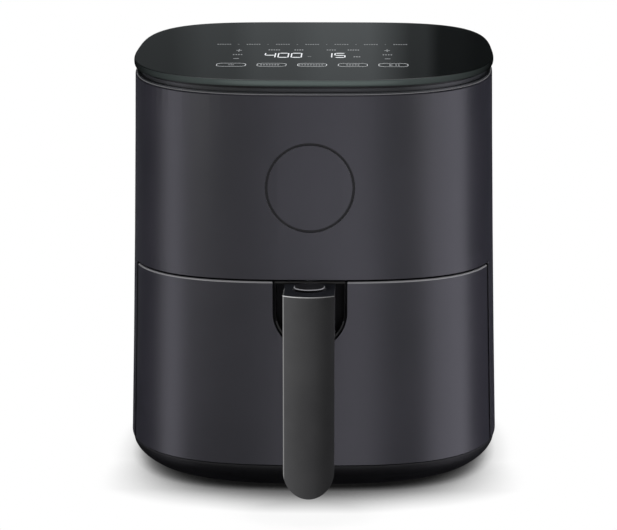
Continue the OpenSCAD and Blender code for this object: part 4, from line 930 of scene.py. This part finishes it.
# Lamps
def addLamp(name, place, target, size, power):
    data = bpy.data.lights.new(name, "AREA")
    data.shape = "RECTANGLE"
    data.size, data.size_y = size
    data.energy = power
    data.specular_factor = 0.25
    lamp = bpy.data.objects.new(name, data)
    lamp.location = place
    lamp.rotation_euler = (Vector(target) - Vector(place)).to_track_quat("-Z", "Y").to_euler()
    lamp.visible_camera = False
    scene.collection.objects.link(lamp)
    return lamp


lampTarget = (0, 0.02, 0.16)
mainLamps = [addLamp("leftKey", (-1.5, -1.2, 0.6), lampTarget, (0.7, 0.7), 7),
             addLamp("rightFill", (1.6, -0.9, 0.6), lampTarget, (0.9, 0.9), 7),
             addLamp("topSoft", (0, 0.1, 1.9), lampTarget, (1.4, 1.4), 12)]

# The body doesn't mirror the handle
for part in ("gripFront", "gripBack", "gripButton"):
    bpy.data.objects[part].visible_glossy = False

# The handle takes its light from lamps of its own, so that it is shaded from left to right
handleParts = bpy.data.collections.new("handleParts")
handleLess = bpy.data.collections.new("handleLess")
for part in ("gripFront", "gripBack"):
    handleParts.objects.link(bpy.data.objects[part])
    handleLess.objects.link(bpy.data.objects[part])
for entry in handleLess.collection_objects:
    entry.light_linking.link_state = "EXCLUDE"
for lamp in mainLamps:
    lamp.light_linking.receiver_collection = handleLess
for name, place, size, power in (("handleKey", (-1.5, -1.0, 0.5), (0.5, 0.5), 40),
                                 ("handleEdge", (-1.2, -0.25, 0.3), (0.12, 0.9), 6)):
    lamp = addLamp(name, place, (0, -0.16, 0.1), size, power)
    lamp.data.specular_factor = 0
    lamp.light_linking.receiver_collection = handleParts


cardTint = (1, 0.98, 1.1)


# Reflector cards that only glossy surfaces see: they draw the soft bands down the body
def addCard(name, corners, shades, tint):
    mesh = bpy.data.meshes.new(name)
    mesh.from_pydata(corners, [], [(0, 1, 2, 3)])
    shadeLayer = mesh.color_attributes.new("shade", "FLOAT_COLOR", "POINT")
    for index, shade in enumerate(shades):
        shadeLayer.data[index].color = (*(shade * part for part in tint), 1)
    paint = bpy.data.materials.new(name)
    paint.use_nodes = True
    tree = paint.node_tree
    tree.nodes.clear()
    shadeIn = addNode(tree, "ShaderNodeVertexColor", (-300, 0), layer_name="shade")
    light = addNode(tree, "ShaderNodeEmission", (-100, 0))
    out = addNode(tree, "ShaderNodeOutputMaterial", (150, 0))
    wire(tree, shadeIn.outputs["Color"], light.inputs["Color"])
    wire(tree, light.outputs[0], out.inputs[0])
    paint.cycles.emission_sampling = "NONE"
    mesh.materials.append(paint)
    card = bpy.data.objects.new(name, mesh)
    for flag in ("visible_camera", "visible_diffuse", "visible_shadow", "visible_transmission"):
        setattr(card, flag, False)
    scene.collection.objects.link(card)
    return card


# An upright card from one spot on the floor plan to another
def wallCard(name, start, end, low, high, shades, tint=cardTint):
    return addCard(name, [(*start, low), (*end, low), (*end, high), (*start, high)], shades, tint)


def uprightCard(name, x, y, width, facing, shades):
    turned = Vector((math.cos(facing), math.sin(facing))) * width / 2
    return wallCard(name, Vector((x, y)) - turned, Vector((x, y)) + turned, -0.5, 0.55, shades)


# The cards stand in a room this wide, deep and high
side, front, rear, low, high = 2.4, -2.3, 2.6, -0.6, 3.2
bodyCards = [uprightCard("leftCard", -0.66, -0.166, 0.25, math.radians(98), (2.75,) * 4),
             uprightCard("rightCard", 0.66, -0.18, 0.58, math.radians(82), (2.7,) * 4),
             uprightCard("frontCard", 0.14, -1.25, 0.40, math.radians(5), (4.6, 4.6, 2.2, 2.2))]
for name, start, end in (("horizonFront", (-side, front), (side, front)),
                         ("horizonLeft", (-side, front), (-side, rear)),
                         ("horizonRight", (side, front), (side, rear))):
    bodyCards.append(wallCard(name, start, end, low, high, (1,) * 4, (1, 1, 1)))

# The glass top doesn't see these, so that its outline stays clear from low angles
glassLess = bpy.data.collections.new("glassLess")
glassLess.objects.link(glassTop)
glassLess.collection_objects[0].light_linking.link_state = "EXCLUDE"
for card in bodyCards:
    card.light_linking.receiver_collection = glassLess

# Flags: dark walls, a dark floor far below, and a rear wall that is darker towards its ends
for name, start, end, foot, head, shade in (
        ("leftFlag", (-0.9, 0.12), (-side, rear), low, high, 0.02),
        ("rightFlag", (0.9, 0.12), (side, rear), low, high, 0.02),
        ("leftUpperFlag", (-1.25, -2.2), (-1.25, 0.4), 0.6, high, 0.05),
        ("rightUpperFlag", (1.25, -2.2), (1.25, 0.4), 0.6, high, 0.05),
        ("frontUpperFlag", (-1.25, -2.2), (1.25, -2.2), 0.75, high, 0.05),
        ("upperFlag", (-side, rear), (side, rear), 2.1, high, 0.01)):
    wallCard(name, start, end, foot, head, (shade,) * 4)
for name, x, y0, y1, z, shade in (("overheadCard", 0.7, -0.9, 0.3, 1.7, 1.2),
                                  ("lowerFlag", side, -2.2, rear, low, 0.01)):
    addCard(name, [(-x, y0, z), (x, y0, z), (x, y1, z), (-x, y1, z)], (shade,) * 4, cardTint)
rearFlag = {"columns": (-2.4, -0.42, -0.276, -0.175, -0.044, 0.128, 0.185, 0.26, 2.4),
            "shades": (0.02, 0.057, 0.088, 0.120, 0.15, 0.050, 0.016, 0.011, 0.008),
            "top": 2.1, "gain": 1.95, "tint": (1, 1.08, 1.11)}
for index in range(len(rearFlag["columns"]) - 1):
    x0, x1 = rearFlag["columns"][index:index + 2]
    a, b = (rearFlag["gain"] * shade for shade in rearFlag["shades"][index:index + 2])
    wallCard(f"rearFlag{index}", (x0, rear), (x1, rear), low, rearFlag["top"], (a, b, 0, 0),
             rearFlag["tint"])
print("studio set")

scene.view_settings.view_transform = "Standard"
